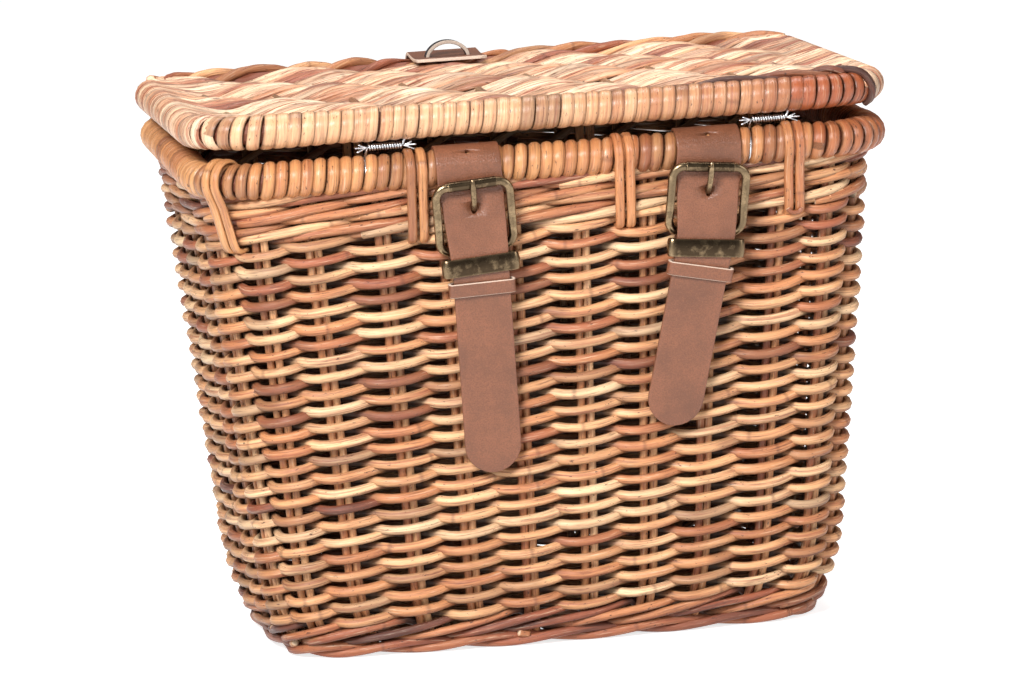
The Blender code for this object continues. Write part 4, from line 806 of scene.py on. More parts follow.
def lay_tab(finish):
    radius = LID_RADIUS + SEAT + LATCH_THICK / 2 + 0.0004
    route = [(y, tab_height(y)) for y in np.linspace(-TAB_START - TAB_LENGTH, -TAB_START, 7)]
    route = smooth_path(route + arc(radius, (102, 86, 70, 54, 38, 22, 8)), 3)
    points = columns(LATCH_X, 2 * LID_HALF_DEPTH + route[:, 0], route[:, 1])
    back, up = -route_normals(route).T
    band, raw = leather_band(LATCH_WIDTH, LATCH_THICK)
    return single("latch_tab_leather", finish, points, columns(0, back, up), band, (0.45, 0.5, 0.5),
                  LID_MATRIX, raw=raw, cap=0.01)


def bend_pull_loop(finish):
    y = -LID_RADIUS - TAB_LENGTH * 0.45
    centre = np.array([LATCH_X, 2 * LID_HALF_DEPTH + y, tab_height(y + 0.003) + LATCH_THICK / 2])
    across, up = 0.0093, 0.0071
    facing = np.array([(across * math.cos(a) * (1.12 - 0.12 * math.sin(a)), 0.0, up * math.sin(a))
                       for a in np.radians(np.linspace(-4, 184, 25))])
    band, raw = leather_band(0.0066, 0.0019)
    return single("latch_pull_loop", finish, centre + facing, facing, band, PLAIN, LID_MATRIX, raw=raw,
                  cap=0.01)


def hang_flap(finish):
    rest = 1 - FLAP_STRAIGHT
    share = np.concatenate([np.linspace(0.0, FLAP_STRAIGHT, 12),
                            FLAP_STRAIGHT + rest * np.sin(np.radians(np.arange(12, 91, 13)))])
    width = LATCH_WIDTH * np.sqrt(1 - 0.91 * (np.maximum(0, share - FLAP_STRAIGHT) / rest) ** 2)
    z = LATCH_Z - 2 * GAP - FLAP_LENGTH * share
    section, raw = leather_band(width, LATCH_THICK, raw_in=0.0007)
    flap = single("latch_flap_leather", finish, columns(LATCH_X, LATCH_Y, z), AWAY, section, raw=raw,
                  cap=0.0)
    punch(flap, (LATCH_X, LATCH_Y, middle("latch_stud").z), Vector(AWAY), (0.004, 0.004), 0.006)
    return flap


BASE_STICKS = [f"base_stick_{i}" for i in range(1, 6)]
# Painted shade over the bottom's rods.
BASE_SHADE = 0.35


def weave_base(finish):
    """The bottom: rods from end to end, over and under the sticks that cross it."""
    bundle = Bundle()
    half_width, half_depth, corner, _ = (float(v) for v in wall_sizes(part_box("base_weave")[0].z))
    inset = WALL_THICK / 2 + 0.0004
    level = middle("base_stick_3").z + 0.0022
    stick_x = [middle(name).x for name in BASE_STICKS]
    pitch = stick_x[1] - stick_x[0]
    count = int(2 * (half_depth - inset) / 0.0049)
    for i in range(count):
        y = (i + 0.5 - count / 2) * 2 * (half_depth - inset) / count
        turn = max(0, abs(y) - half_depth + corner)
        reach = half_width - corner + math.sqrt(max(corner ** 2 - turn ** 2, 0)) - inset - 0.0024
        x = np.linspace(-reach, reach, 60)
        path = columns(x, y + SET_BACK, level + 0.0034 * np.cos(np.pi * (x / pitch + i)))
        bundle.add(path, UP, round_section(0.0023), rod_tint(), deep=BASE_SHADE)
    reach = half_depth - inset - 0.004
    y = np.linspace(-reach, reach, 12)
    for x in stick_x:
        for side in (-1, 1):
            path = columns(x + side * 0.0022, y + SET_BACK, level)
            bundle.add(path, UP, round_section(0.0020), rod_tint(), deep=BASE_SHADE)
    return bundle.piece("base_rods", finish)


class Finish:
    """The shader of a material or of the room, with short ways to add its nodes."""

    def __init__(self, owner, main="Principled BSDF"):
        owner.use_nodes = True
        self.owner = owner
        self.tree = owner.node_tree
        self.shader = self.tree.nodes[main]

    def put(self, socket, value):
        if isinstance(value, bpy.types.NodeSocket):
            self.tree.links.new(value, socket)
        else:
            socket.default_value = value

    def node(self, kind, settings=None, **inputs):
        item = self.tree.nodes.new("ShaderNode" + kind)
        for key, value in (settings or {}).items():
            setattr(item, key, value)
        for key, value in inputs.items():
            self.put(item.inputs[key.replace("_", " ")], value)
        return item

    def attribute(self, name):
        return self.node("Attribute", {"attribute_name": name}).outputs["Vector"]

    def parts(self, vector):
        return self.node("SeparateXYZ", Vector=vector).outputs

    def sum(self, kind, a, b=0.0):
        item = self.node("Math", {"operation": kind})
        self.put(item.inputs[0], a)
        self.put(item.inputs[1], b)
        return item.outputs[0]

    def times(self, a, b):
        return self.sum("MULTIPLY", a, b)

    def plus(self, a, b):
        return self.sum("ADD", a, b)

    def noise(self, vector, scale, detail, roughness=0.5, move=(0, 0, 0)):
        """Noise at one scale, or at its own scale on each axis."""
        if isinstance(scale, tuple):
            vector = self.node("Mapping", Vector=vector, Scale=scale, Location=move).outputs[0]
            scale = 1.0
        return self.node("TexNoise", Vector=vector, Scale=scale, Detail=detail,
                         Roughness=roughness).outputs["Fac"]

    def spread(self, value, low, high, to_low=0.0, to_high=1.0):
        return self.node("MapRange", Value=value, From_Min=low, From_Max=high, To_Min=to_low,
                         To_Max=to_high).outputs[0]

    def ramp(self, value, stops):
        item = self.node("ValToRGB", Fac=value)
        while len(item.color_ramp.elements) < len(stops):
            item.color_ramp.elements.new(0.5)
        for element, (place, tone) in zip(item.color_ramp.elements, stops):
            element.position = place
            element.color = tone
        return item.outputs["Color"]

    def layers(self, base, *coats, kind="MIX"):
        """Lay tones over the base, each by its share."""
        for share, tone in coats:
            item = self.node("Mix", {"data_type": "RGBA", "blend_type": kind})
            for socket, value in zip((item.inputs[0], item.inputs[6], item.inputs[7]), (share, base, tone)):
                self.put(socket, value)
            base = item.outputs[2]
        return base

    def set(self, **inputs):
        for key, value in inputs.items():
            self.put(self.shader.inputs[key.replace("_", " ")], value)

    def bump(self, height, distance, strength=1.0):
        item = self.node("Bump", Height=height, Distance=distance, Strength=strength)
        self.set(Normal=item.outputs["Normal"])
        return self.owner


def surface(name):
    """A new material with its place on the object, as nodes want it."""
    f = Finish(bpy.data.materials.new(name))
    return f, f.node("TexCoord").outputs["Object"]


STRAW = colour(242, 204, 160)
HONEY = colour(230, 176, 126)
ORANGE_TAN = colour(204, 138, 90)
RED_BROWN = colour(156, 86, 58)
DARK_BROWN = colour(92, 50, 36)
PITH = colour(248, 222, 188)
SPECK = colour(54, 28, 20)
# Painted shade: the near-black colour and its strength laid over rods where the mesh marks them for shade.
DEEP_SHADE = colour(26, 12, 8)
ROD_SHADE = 0.94


def rattan(name, stops, roughness, coat, patchiness=0.45, lined=1.0):
    """Peeled rattan: fibres along the rod, tone patches, specks, joint rings, pale cut ends, painted shade.
    """
    f = Finish(bpy.data.materials.new(name))
    tint = f.parts(f.attribute("tint"))
    grain = f.attribute("grain")
    marks = f.parts(f.attribute("marks"))
    patch = f.noise(grain, (13, 45, 45), 3)
    fibre = f.noise(grain, (70, 1250, 1250), 3, 0.65)
    streak = f.noise(grain, (20, 560, 560), 3, 0.6, (3, 1, 7))
    speck = f.noise(grain, (330, 900, 900), 2, 0.7)
    ring = f.noise(grain, (9, 0, 0), 0)
    near_ring = f.sum("ABSOLUTE", f.sum("SUBTRACT", ring, 0.5))
    base = f.ramp(f.plus(tint[0], f.times(f.sum("SUBTRACT", patch, 0.5), patchiness * 2)), stops)
    light = f.spread(tint[1], 0, 1, 0.84, 1.12)
    light = f.node("CombineColor", Red=light, Green=light, Blue=light).outputs[0]
    base = f.layers(base, (1.0, light), kind="MULTIPLY")
    base = f.layers(base, (f.spread(streak, 0.48, 0.66, 0.0, 0.7 * lined), RED_BROWN),
                    (f.spread(fibre, 0.42, 0.24, 0.0, 0.6 * lined), PITH),
                    (f.spread(fibre, 0.54, 0.72, 0.0, 0.75 * lined), DARK_BROWN),
                    (f.spread(speck, 0.65, 0.71, 0.0, 0.85), SPECK),
                    (f.spread(near_ring, 0.001, 0.006, 0.4, 0.0), DARK_BROWN),
                    (f.times(marks[2], 0.8), PITH), (f.times(marks[0], ROD_SHADE), DEEP_SHADE))
    f.set(Base_Color=base, Roughness=f.plus(roughness, f.spread(fibre, 0.3, 0.7, -0.06, 0.14)),
          Coat_Weight=coat, Coat_Roughness=0.25)
    height = f.plus(f.times(fibre, -0.7), f.times(streak, -0.5))
    height = f.plus(height, f.times(f.spread(near_ring, 0.001, 0.01, 1, 0), 0.3))
    return f.bump(height, 0.0007)


def tan_leather(name, tone, edge):
    """Smooth leather with a fine grain, soft tone changes, a few creases and pale raw edges."""
    f, place = surface(name)
    marks = f.parts(f.attribute("marks"))
    cloud = f.noise(place, 55, 4, 0.6)
    fine = f.noise(place, 1500.0, 3, 0.6)
    pores = f.node("TexVoronoi", Vector=place, Scale=1350.0).outputs["Distance"]
    darker, paler = (tuple(min(v * k, 1) for v in tone[:3]) + (1.0,) for k in (0.72, 1.22))
    base = f.ramp(cloud, ((0.32, darker), (0.5, tone), (0.68, paler)))
    base = f.layers(base, (f.spread(fine, 0.47, 0.6, 0.0, 0.7), darker),
                    (f.spread(fine, 0.46, 0.34, 0.0, 0.6), paler),
                    (f.times(marks[1], f.spread(fine, 0.2, 0.6, 1.0, 0.75)), edge))
    f.set(Base_Color=base, Roughness=f.plus(f.spread(cloud, 0.3, 0.7, 0.34, 0.44), f.times(marks[1], 0.4)))
    return f.bump(f.plus(f.times(pores, 0.8), f.times(fine, 0.5)), 0.00022, 0.8)


def worn_brass(name):
    """Antique brass: dark in the hollows, rubbed bright here and there."""
    f, place = surface(name)
    cloud = f.noise(place, 160, 4, 0.65)
    fine = f.noise(place, 1400, 3, 0.6)
    edge = f.node("NewGeometry").outputs["Pointiness"]
    rubbed = f.plus(f.spread(edge, 0.5, 0.56, 0.0, 0.6), f.spread(cloud, 0.5, 0.75, 0.0, 0.55))
    base = f.layers(colour(46, 36, 27), (rubbed, colour(166, 142, 110)),
                    (f.spread(fine, 0.55, 0.75, 0.0, 0.6), colour(34, 27, 21)))
    f.set(Base_Color=base, Metallic=1.0, Roughness=f.spread(cloud, 0.3, 0.7, 0.36, 0.2))
    return f.bump(fine, 0.00008, 0.5)


def galvanised(name):
    f, place = surface(name)
    cloud = f.noise(place, 500, 3, 0.6)
    base = f.layers(colour(176, 178, 182), (f.spread(cloud, 0.35, 0.65), colour(222, 224, 226)))
    f.set(Base_Color=base, Metallic=1.0, Roughness=f.spread(cloud, 0.3, 0.7, 0.36, 0.22))
    return f.bump(cloud, 0.00005, 0.4)


def climbing_strand(bundle, first, z_low, z_rise, climb, radius, swing, depth, tones):
    """A strand of a slanted band: past two stake pairs in front and one behind, climbing as it goes."""
    run = 3.0
    joints = [first]
    last = first + PAIRS
    while joints[-1] < last:
        joints.append(min(joints[-1] + run * chance.integers(3, 6), last))
    for start, end in zip(joints[:-1], joints[1:]):
        station = np.linspace(start - 0.3, end + 0.3, int((end - start) * 9))
        phase = np.mod((station - first + 0.5) / run - 5 / 6, 1)
        inside = np.tanh(2.6 * (np.minimum(phase, 1 - phase) * run - 0.5)) / math.tanh(2.6)
        rise = climb * np.interp(phase, (0, 0.08, 0.92, 1), (0, -1, 1, 0))
        height = z_low + z_rise * (station - first) / PAIRS + rise
        height = height + 0.0006 * np.sin(station * 1.7 + chance.uniform(0, 6))
        points, _ = wall_points(station, np.maximum(height, radius), depth + swing * inside)
        lay_weaver(bundle, points, radius * chance.normal(1, 0.05), inside, rod_tint(tones=tones),
                   (1.05, 0.92))


WALING_CLIMB = 0.0041
WALING_RADIUS = 0.0023


def weave_top_waling(finish):
    bundle = Bundle()
    for level in (0, 1, 2):
        for strand in range(3):
            low = WALING_LOW + WALING_CLIMB + 0.0006 + 2.1 * WALING_CLIMB * level
            climbing_strand(bundle, strand + level, low, 0.0, WALING_CLIMB, WALING_RADIUS, WEAVER_SWING,
                            STAKE_DEPTH, (0.1, 0.95))
    return bundle.piece("waling_under_rim", finish)


def cut_foot_ends(bundle):
    """A few pale cut ends that stand out of the border."""
    stubs = [(s + chance.uniform(-0.3, 0.3), chance.uniform(0.0035, 0.0085), chance.choice((-1, 1)) * 0.9,
              chance.uniform(0.0030, 0.0052)) for s in np.arange(1.5, PAIRS, 5.1)]
    for station, z, slant, reach in stubs:
        start, out = wall_at(np.array([station]), z, 0.0020)
        along = np.array([-out[0][1], out[0][0], 0.0])
        step = along * slant + out[0] * 0.3 + UP * 0.25
        path = start + (np.linspace(0, 1, 6) * reach)[:, None] * (step / np.linalg.norm(step))
        bundle.add(path, out[0], round_section(0.0022), rod_tint(), width=np.linspace(1.0, 0.92, 6))


def weave_foot_border(finish):
    """Three climbing strands over a twisted pair that the basket stands on."""
    bundle = Bundle()
    for strand in range(3):
        climbing_strand(bundle, strand, 0.0118, 0.0012, 0.0056, 0.0021, 0.0042, -0.0005, (0.5, 1.0))
    station = np.linspace(0, PAIRS, PAIRS * 9 + 1)[:-1]
    for strand in range(2):
        turn = 2 * np.pi * (station * (PAIRS // 3) / PAIRS) + strand * np.pi
        points, _ = wall_points(station, 0.0046 + 0.0020 * np.sin(turn), 0.0016 + 0.0018 * np.cos(turn))
        tint = rod_tint()
        tint[0] = 0.78 + 0.1 * strand
        bundle.add(points, UP, round_section(0.0023), tint, closed=True)
    cut_foot_ends(bundle)
    return bundle.piece("foot_border", finish)


TURN_POINTS = 16
CANE_THICK = 0.0010


def wind_cane(name, finish, path_at, length, radius, pitch_at, crown, tones, redden, closed=True,
              place=None):
    """Cane wound round a hoop, one strip in tight turns. path_at gives the hoop's middle and outward
    directions at lengths along it."""
    fine = np.linspace(0, length, 1200)
    pitch = pitch_at(path_at(fine)[1])
    turns = np.concatenate([[0], np.cumsum(np.diff(fine) / ((pitch[1:] + pitch[:-1]) / 2))])
    count = int(round(turns[-1]))
    turns *= count / turns[-1]
    at = np.linspace(0, count, count * TURN_POINTS + (0 if closed else 1), endpoint=not closed)
    jitter = chance.normal(0, 0.05, count + 2)
    lift = chance.normal(0, 0.00016, count + 2)
    level = np.arange(count + 2)
    if closed:
        jitter[count], lift[count] = jitter[0], lift[0]
    along = np.interp(at, turns, fine)
    local_pitch = np.interp(along, fine, pitch)
    centre, out = path_at(along + np.interp(at, level, jitter) * local_pitch)
    facing = swung(out, UP, 2 * np.pi * at)
    tint = np.zeros((len(at), 3))
    start = 0
    while start < count:
        strip = int(chance.integers(9, 26))
        tint[(at >= start) & (at < start + strip)] = rod_tint(tones=tones)
        start += strip
    tint[:, 1] = np.clip(tint[:, 1] * 0.6 + 0.4 * chance.random(count + 2)[at.astype(int)], 0, 1)
    tint[:, 0] += redden * np.clip(centre[:, 0] / LID_HALF_WIDTH, -0.05, 1)
    mean = float(local_pitch.mean())
    section = strip_section(mean, CANE_THICK, crown)
    # Painted shade: each turn darkens towards its edges, where it meets the next turn.
    edge = np.clip(np.abs(section[:, 0]) / (mean / 2) * 4 - 3.2, 0, 0.7)
    high = radius + np.interp(at, level, lift)
    return single(name, finish, centre + facing * high[:, None], facing, section, tint, place, closed=closed,
                  width=local_pitch / mean, deep=np.tile(edge, (len(at), 1)))


def hoop_path(outline, z, forward):
    def path_at(length):
        flat, out = outline_at(length, *outline)
        return raised(flat + (0, forward), z), raised(out)
    return path_at, outline_lengths(*outline)


def wind_rim(finish):
    path_at, marks = hoop_path((RIM_HALF_WIDTH, RIM_HALF_DEPTH, RIM_CORNER), RIM_Z, SET_BACK)

    def pitch_at(out):
        return 0.0052 + 0.0008 * np.clip(-out[:, 1], 0, 1) - 0.0012 * np.clip(-out[:, 0], 0, 1)

    return wind_cane("rim_binding", finish, path_at, marks[-1], RIM_RADIUS - 0.0012, pitch_at, 0.0014,
                     (0.3, 0.9), 0.5)


def wind_lid_front_bar(finish):
    """Cane round the front bar, from half-way round one front corner to half-way round the other."""
    path_at, marks = hoop_path(LID_BARS, 0.0, LID_HALF_DEPTH)
    share = 46 / 90
    begin, end = marks[6] + marks[1] * share, marks[8] + marks[1] * (1 - share)
    return wind_cane("lid_front_binding", finish, lambda along: path_at(along + begin), end - begin,
                     LID_RADIUS - 0.0007, lambda out: 0.0062 - 0.0014 * np.clip(out[:, 0], 0, 1), 0.0007,
                     (0.25, 0.75), 0.6, False, LID_MATRIX)


BACK_BAR_RODS = 5
BACK_BAR_LAY = 0.110
LID_BANDS = 5
BAND_RODS = 9
LID_STICKS = 10
STICK_PITCH = 2 * (LID_HALF_WIDTH - LID_RADIUS) / LID_STICKS
LID_RELIEF = 0.0034
LID_ROD_LEVEL = -0.0003
LID_BACK_LIFT = 0.0030
BAND_FAN = 0.26
BAND_SKEW = 0.42
ROD_THICK = 0.66
WRAP_THICK = 0.42
ROD_OVERLAP = 1.24


def twist_round_back_bar(finish):
    """Brown rods laid in a long twist round the lid's back bar, pressed flat under the latch tab."""
    marks = outline_lengths(*LID_BARS)
    length = np.linspace(marks[2] + 0.014, marks[5] - 0.014, 260)
    flat, out = outline_at(length, *LID_BARS)
    centre, out = raised(flat), raised(out)
    clear = 1 - np.exp(-((flat[:, 0] - LATCH_X) / 0.027) ** 6)
    squash = np.stack([np.ones(len(length)), lerp(0.3, 0.95, clear)], 1)[:, None]
    bundle = Bundle()
    for strand in range(BACK_BAR_RODS):
        angle = 2 * np.pi * ((length - length[0]) / BACK_BAR_LAY + strand / BACK_BAR_RODS)
        around = swung(out, UP, angle + 0.35 * np.sin(length * 37 + strand))
        reach = LID_CORE + lerp(0.0004, 0.0013 + 0.0004 * math.sin(strand * 2), clear)
        tint = (0.35 + 0.55 * (strand % 3) / 2, chance.random(), 0.5)
        bundle.add(centre + around * reach[:, None], around, round_section(0.0024)[None] * squash, tint,
                   width=uneven(len(length), 0.05))
    return bundle.piece("lid_back_binding", finish, LID_MIDDLE)


def back_lift(x, y):
    """The weave climbs over the back bar, except under the latch tab."""
    edge = LID_HALF_DEPTH - LID_RADIUS
    near = np.clip((y - edge + 0.060) / 0.052, 0, 1)
    clear = 1 - np.exp(-((x - LATCH_X) / 0.030) ** 4)
    return LID_BACK_LIFT * near ** 2 * (3 - 2 * near) * clear


def lay_lid_rod(bundle, number):
    """One flat rod of the lid, from under one end bar over the cross sticks to under the other."""
    depth = LID_HALF_DEPTH - LID_RADIUS
    count = LID_BANDS * BAND_RODS
    pitch = 2 * depth / count
    band, place = divmod(number, BAND_RODS)
    across = (place - (BAND_RODS - 1) / 2) / (BAND_RODS / 2)
    y = (number + 0.5 - count / 2) * pitch
    turn = math.asin(np.clip((abs(y) - LID_HALF_DEPTH + LID_CORNER) / LID_CORNER, 0, 1))
    bar_x = LID_HALF_WIDTH - LID_CORNER * (1 - math.cos(turn))
    inner = bar_x - 0.0135
    x = np.linspace(-inner, inner, 92)
    along = x / STICK_PITCH + (LID_STICKS - 1) / 2 + band
    hump = np.cos(np.pi * (along + BAND_SKEW * across + chance.normal(0, 0.04)))
    fade = np.clip((inner - np.abs(x)) / 0.016, 0, 1)
    fan = BAND_FAN * np.cos(np.pi * along) * fade
    middle_y = (band + 0.5 - LID_BANDS / 2) * BAND_RODS * pitch
    side = middle_y + (y - middle_y) * (1 + fan * (1 if abs(y) < depth * 0.8 else 0.3))
    side += 0.0004 * np.sin(x * 45 + number * 2.1) * fade * np.clip((depth - abs(y)) / 0.006, 0, 1)
    relief = LID_RELIEF * (1 - 0.25 * across ** 2) * hump * fade
    z = LID_ROD_LEVEL + lid_crown(x, y) + back_lift(x, y) + relief
    z += 0.0005 * np.sin(x * 70 + number * 2.3) + (1 - fade) * 0.003
    angles = np.radians(np.arange(118, -141, -20))
    ends = []
    for sign in (-1, 1):
        normal = np.array([sign * math.cos(turn), math.copysign(math.sin(turn), y), 0.0])
        outward = swung(normal, UP, angles)
        ends.append((np.array([sign * bar_x, y, 0.0]) + outward * (LID_CORE + 0.0012), outward))
    path = np.concatenate([ends[0][0][::-1], columns(x, side, z), ends[1][0]])
    facing = np.concatenate([ends[0][1][::-1], np.tile(UP, (len(x), 1)), ends[1][1]])
    wrap = len(angles)
    easing = np.linspace(0.45, ROD_THICK, 6)
    thick = np.full(len(path), ROD_THICK)
    thick[:wrap] = thick[-wrap:] = WRAP_THICK
    thick[wrap:wrap + 6] = easing
    thick[-wrap - 6:-wrap] = easing[::-1]
    wide = np.full(len(path), pitch / 2 * ROD_OVERLAP)
    wide[wrap:-wrap] *= 1 + fan
    wide[:wrap] = wide[-wrap:] = pitch / 2 * 1.02 / math.cos(turn)
    wide *= uneven(len(path), 0.05, 7)
    section = round_section(1.0)[None] * np.stack([wide, thick * pitch / 2], 1)[:, None]
    # Painted shade on the upper side where the band dips between its humps.
    deep = np.zeros(len(path))
    deep[wrap:-wrap] = np.clip(-hump, 0, 1) ** 1.5 * fade * (0.25 + 0.7 * abs(across))
    top = np.clip(0.4 + section[..., 1] / (pitch * 0.3), 0, 1)
    bundle.add(path, facing, section, rod_tint(1.6, 2.6), deep=deep[:, None] * top)


def weave_lid(finish):
    """Flat rods in bands over the cross sticks; each band fans out where it rises and closes where it
    dips, and the ends are carried round the end bars."""
    for band in range(LID_BANDS):
        bundle = Bundle()
        for place in range(BAND_RODS):
            lay_lid_rod(bundle, band * BAND_RODS + place)
        yield bundle.piece(f"lid_rods_{band + 1}", finish, LID_MIDDLE)


# The dark rods' way beside the lid's bars: past the front right corner, out from the bar's middle, up.
EDGE_KNOTS = ((-0.080, -0.0092, 0.0020), (-0.052, -0.0080, 0.0060), (-0.020, -0.0068, 0.0076),
              (0.006, -0.0052, 0.0086), (0.018, -0.0008, 0.0094), (0.024, 0.0054, 0.0074),
              (0.0262, 0.0090, 0.0012), (0.0268, 0.0080, -0.0046), (0.0270, 0.0040, -0.0078))
EDGE_PAIR_SHARE = 0.52


def lay_edge_rods(finish):
    """The dark pair along the inner top of the front bar and the rod that it leads round the right end."""
    end = outline_lengths(*LID_BARS)[8]
    past, beside, height = smooth_path(np.array(EDGE_KNOTS) + (end, 0, 0), 9).T
    flat, out = outline_at(past, *LID_BARS)
    path = raised(flat + out * beside[:, None], height)
    facing = (0.1, 0.2, 1.0)
    dark = np.array([1.05, 0.1, 0.5])
    split = int(len(path) * EDGE_PAIR_SHARE)
    front = path[:split]
    _, aside, above = path_frames(front, facing, False)
    # Both carry painted shade as well as their dark tint.
    bundle = Bundle()
    for strand in range(2):
        angle = 2 * np.pi * (2.2 * np.linspace(0, 1, split) + strand / 2)
        bundle.add(front + 0.0013 * swung(aside, above, angle), facing, round_section(0.0017),
                   dark - (0.2 * chance.random(), 0, 0), deep=0.4)
    bundle.add(path[split - 6:], facing, round_section(0.0018), dark, deep=0.55,
               width=uneven(len(path) - split + 6, 0.05))
    return bundle.piece("lid_edge_rods", finish, LID_MIDDLE)


def set_lid_sticks(finish):
    bundle = Bundle()
    for i in range(LID_STICKS):
        x = (i - (LID_STICKS - 1) / 2) * STICK_PITCH
        turn = max(0, abs(x) - LID_HALF_WIDTH + LID_CORNER)
        reach = LID_HALF_DEPTH - LID_CORNER + math.sqrt(LID_CORNER ** 2 - turn ** 2) - LID_CORE
        y = np.linspace(-reach, reach, 14)
        path = columns(x, y, LID_ROD_LEVEL + lid_crown(x, y) - 0.0002)
        # The sticks, lying under the rods, carry painted shade.
        bundle.add(path, UP, round_section(0.0021), rod_tint(), deep=0.5)
    return bundle.piece("lid_cross_sticks", finish, LID_MIDDLE)


def wear(item, body, slot_name, *nodes):
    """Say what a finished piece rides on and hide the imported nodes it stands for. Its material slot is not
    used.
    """
    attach(item, body)
    if nodes:
        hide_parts(*nodes)


def dress(node, finish):
    """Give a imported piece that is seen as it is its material."""
    materials = frame["nodes"][node].data.materials
    materials.clear()
    materials.append(finish)


REDDISH = colour(158, 82, 46)
wall_rattan = rattan("wall_rattan", ((0.0, STRAW), (0.3, HONEY), (0.58, ORANGE_TAN), (0.88, RED_BROWN),
                                     (1.0, DARK_BROWN)), 0.50, 0.04)
rim_cane = rattan("rim_cane", ((0.0, colour(234, 184, 132)), (0.5, colour(214, 152, 98)), (1.0, REDDISH)),
                  0.34, 0.15, 0.4, 0.75)
lid_cane = rattan("lid_cane", ((0.0, colour(238, 198, 158)), (0.5, colour(222, 166, 120)), (1.0, REDDISH)),
                  0.34, 0.15, 0.4, 0.75)
hoop_brown = rattan("hoop_brown", ((0.0, RED_BROWN), (1.0, DARK_BROWN)), 0.6, 0.0)
lid_straw = rattan("lid_straw", ((0.05, colour(246, 214, 180)), (0.34, colour(236, 192, 154)),
                                 (0.6, colour(212, 152, 114)), (0.84, colour(160, 94, 72)),
                                 (1.0, DARK_BROWN)), 0.42, 0.06, 0.8, 1.45)
strap_leather = tan_leather("strap_leather", colour(124, 77, 54), colour(232, 210, 190))
loop_leather = tan_leather("black_loop_leather", colour(40, 36, 38), colour(196, 178, 162))
brass = worn_brass("antique_brass")
wire_steel = galvanised("galvanised_wire")

for piece in weave_wall(wall_rattan):
    wear(piece, "basket", "wicker", "side_weave")
wear(set_stakes(wall_rattan), "basket", "wicker")
wear(weave_top_waling(wall_rattan), "basket", "wicker", "top_waling")
wear(weave_foot_border(wall_rattan), "basket", "wicker", "base_border")
wear(wind_rim(rim_cane), "basket", "cane", "rim_wrap_front", "rim_wrap_back", "rim_wrap_left",
     "rim_wrap_right")
wear(wind_lid_front_bar(lid_cane), "lid", "cane", "lid_wrap_front")
wear(twist_round_back_bar(wall_rattan), "lid", "cane", "lid_wrap_back")
for piece in weave_lid(lid_straw):
    wear(piece, "lid", "lid_rods", "lid_weave", "lid_wrap_left", "lid_wrap_right")
wear(lay_edge_rods(wall_rattan), "lid", "lid_rods")
wear(set_lid_sticks(wall_rattan), "lid", "wicker", *(f"lid_stick_{i + 1}" for i in range(LID_STICKS)))
for number in range(1, LASHINGS + 1):
    wear(tie_lashing(number, rim_cane), "basket", "cane", f"rim_lashing_{number}")
for which, side in enumerate(SIDES):
    wear(cut_strap(which, strap_leather), "basket", "leather", side + "_strap")
    wear(cast_buckle(which, brass), "basket", "aged_brass", side + "_buckle_frame")
    wear(roll_roller(which, brass), side + "_roller", "aged_brass", side + "_buckle_roller")
    wear(bend_prong(which, brass), side + "_prong", "aged_brass", side + "_buckle_prong")
    metal, loop = add_keepers(which, brass, strap_leather)
    wear(metal, "basket", "aged_brass", side + "_metal_keeper")
    wear(loop, side + "_keeper", "leather", side + "_leather_keeper")
    link, winding = bend_hinge(side, wire_steel)
    wear(link, "basket", "steel_wire", side + "_hinge_link")
    wear(winding, "basket", "steel_wire", side + "_hinge_coil")
wear(lay_tab(strap_leather), "lid", "leather", "latch_tab")
wear(bend_pull_loop(loop_leather), "lid", "black_leather", "latch_loop")
wear(hang_flap(strap_leather), "latch_flap", "leather", "latch_flap")
wear(weave_base(wall_rattan), "basket", "wicker", "base_weave", *BASE_STICKS)
dress("rim_hoop", hoop_brown)
dress("lid_hoop", hoop_brown)
dress("latch_stud", brass)

# Where the camera stood, fitted to the rim, the lid, the walls and the foot.
LENS = 219.7
CAMERA_SPOT = (-0.4619, -3.0626 + SET_BACK, 0.5968)
CAMERA_TURNS = ((-0.1501, "Z"), (-0.1494, "X"), (0.0554, "Y"))


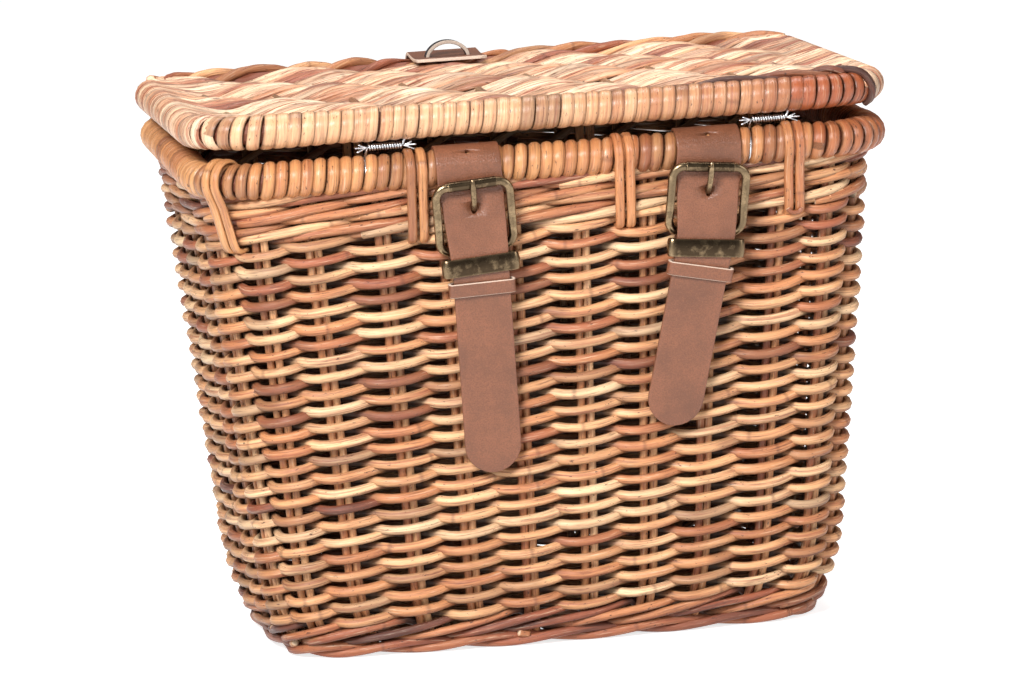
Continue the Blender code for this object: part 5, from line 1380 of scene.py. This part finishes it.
def set_camera():
    data = bpy.data.cameras.new("camera")
    data.sensor_width = 36
    data.lens = LENS
    camera = bpy.data.objects.new("camera", data)
    bpy.context.scene.collection.objects.link(camera)
    turn = Matrix.Identity(3)
    for angle, axis in CAMERA_TURNS:
        turn = turn @ Matrix.Rotation(angle, 3, axis)
    matrix = Matrix.Identity(4)
    for i, column in enumerate((turn.col[0], turn.col[2], -turn.col[1])):
        matrix.col[i][0:3] = column
    matrix.translation = CAMERA_SPOT
    camera.matrix_world = matrix
    bpy.context.scene.camera = camera


def set_lamp(name, spot, width, power):
    data = bpy.data.lights.new(name, "AREA")
    data.shape = "DISK"
    data.size = width
    data.energy = power
    lamp = bpy.data.objects.new(name, data)
    bpy.context.scene.collection.objects.link(lamp)
    lamp.location = spot
    lamp.rotation_euler = (Vector((0, 0, RIM_Z / 2)) - Vector(spot)).to_track_quat("-Z", "Y").to_euler()


def set_room():
    """A white floor and room; both look white to the camera, and the floor keeps the shadow."""
    bpy.ops.mesh.primitive_plane_add(size=14)
    floor = bpy.context.object
    floor.name = "floor"
    f = Finish(bpy.data.materials.new("white_floor"))
    rays = f.node("LightPath").outputs
    glow = f.times(f.sum("MAXIMUM", rays["Is Camera Ray"], rays["Is Glossy Ray"]), 0.78)
    f.set(Base_Color=(0.76, 0.76, 0.76, 1), Roughness=0.9, Specular_IOR_Level=0.1,
          Emission_Color=(1, 1, 1, 1), Emission_Strength=glow)
    floor.data.materials.append(f.owner)
    f = Finish(bpy.data.worlds.new("white_room"), "Background")
    bpy.context.scene.world = f.owner
    rays = f.node("LightPath").outputs
    seen = f.sum("MAXIMUM", rays["Is Camera Ray"], rays["Is Transmission Ray"])
    f.set(Color=(1, 1, 1, 1), Strength=f.spread(seen, 0, 1, 0.20, 1.0))


set_camera()
set_room()
set_lamp("key_lamp", (-1.05, -2.0, 1.55), 0.9, 90)
set_lamp("fill_lamp", (1.6, -1.5, 0.9), 1.2, 12)
set_lamp("top_lamp", (0.2, 0.5, 2.2), 1.2, 26)
bpy.context.scene.view_settings.view_transform = "Standard"
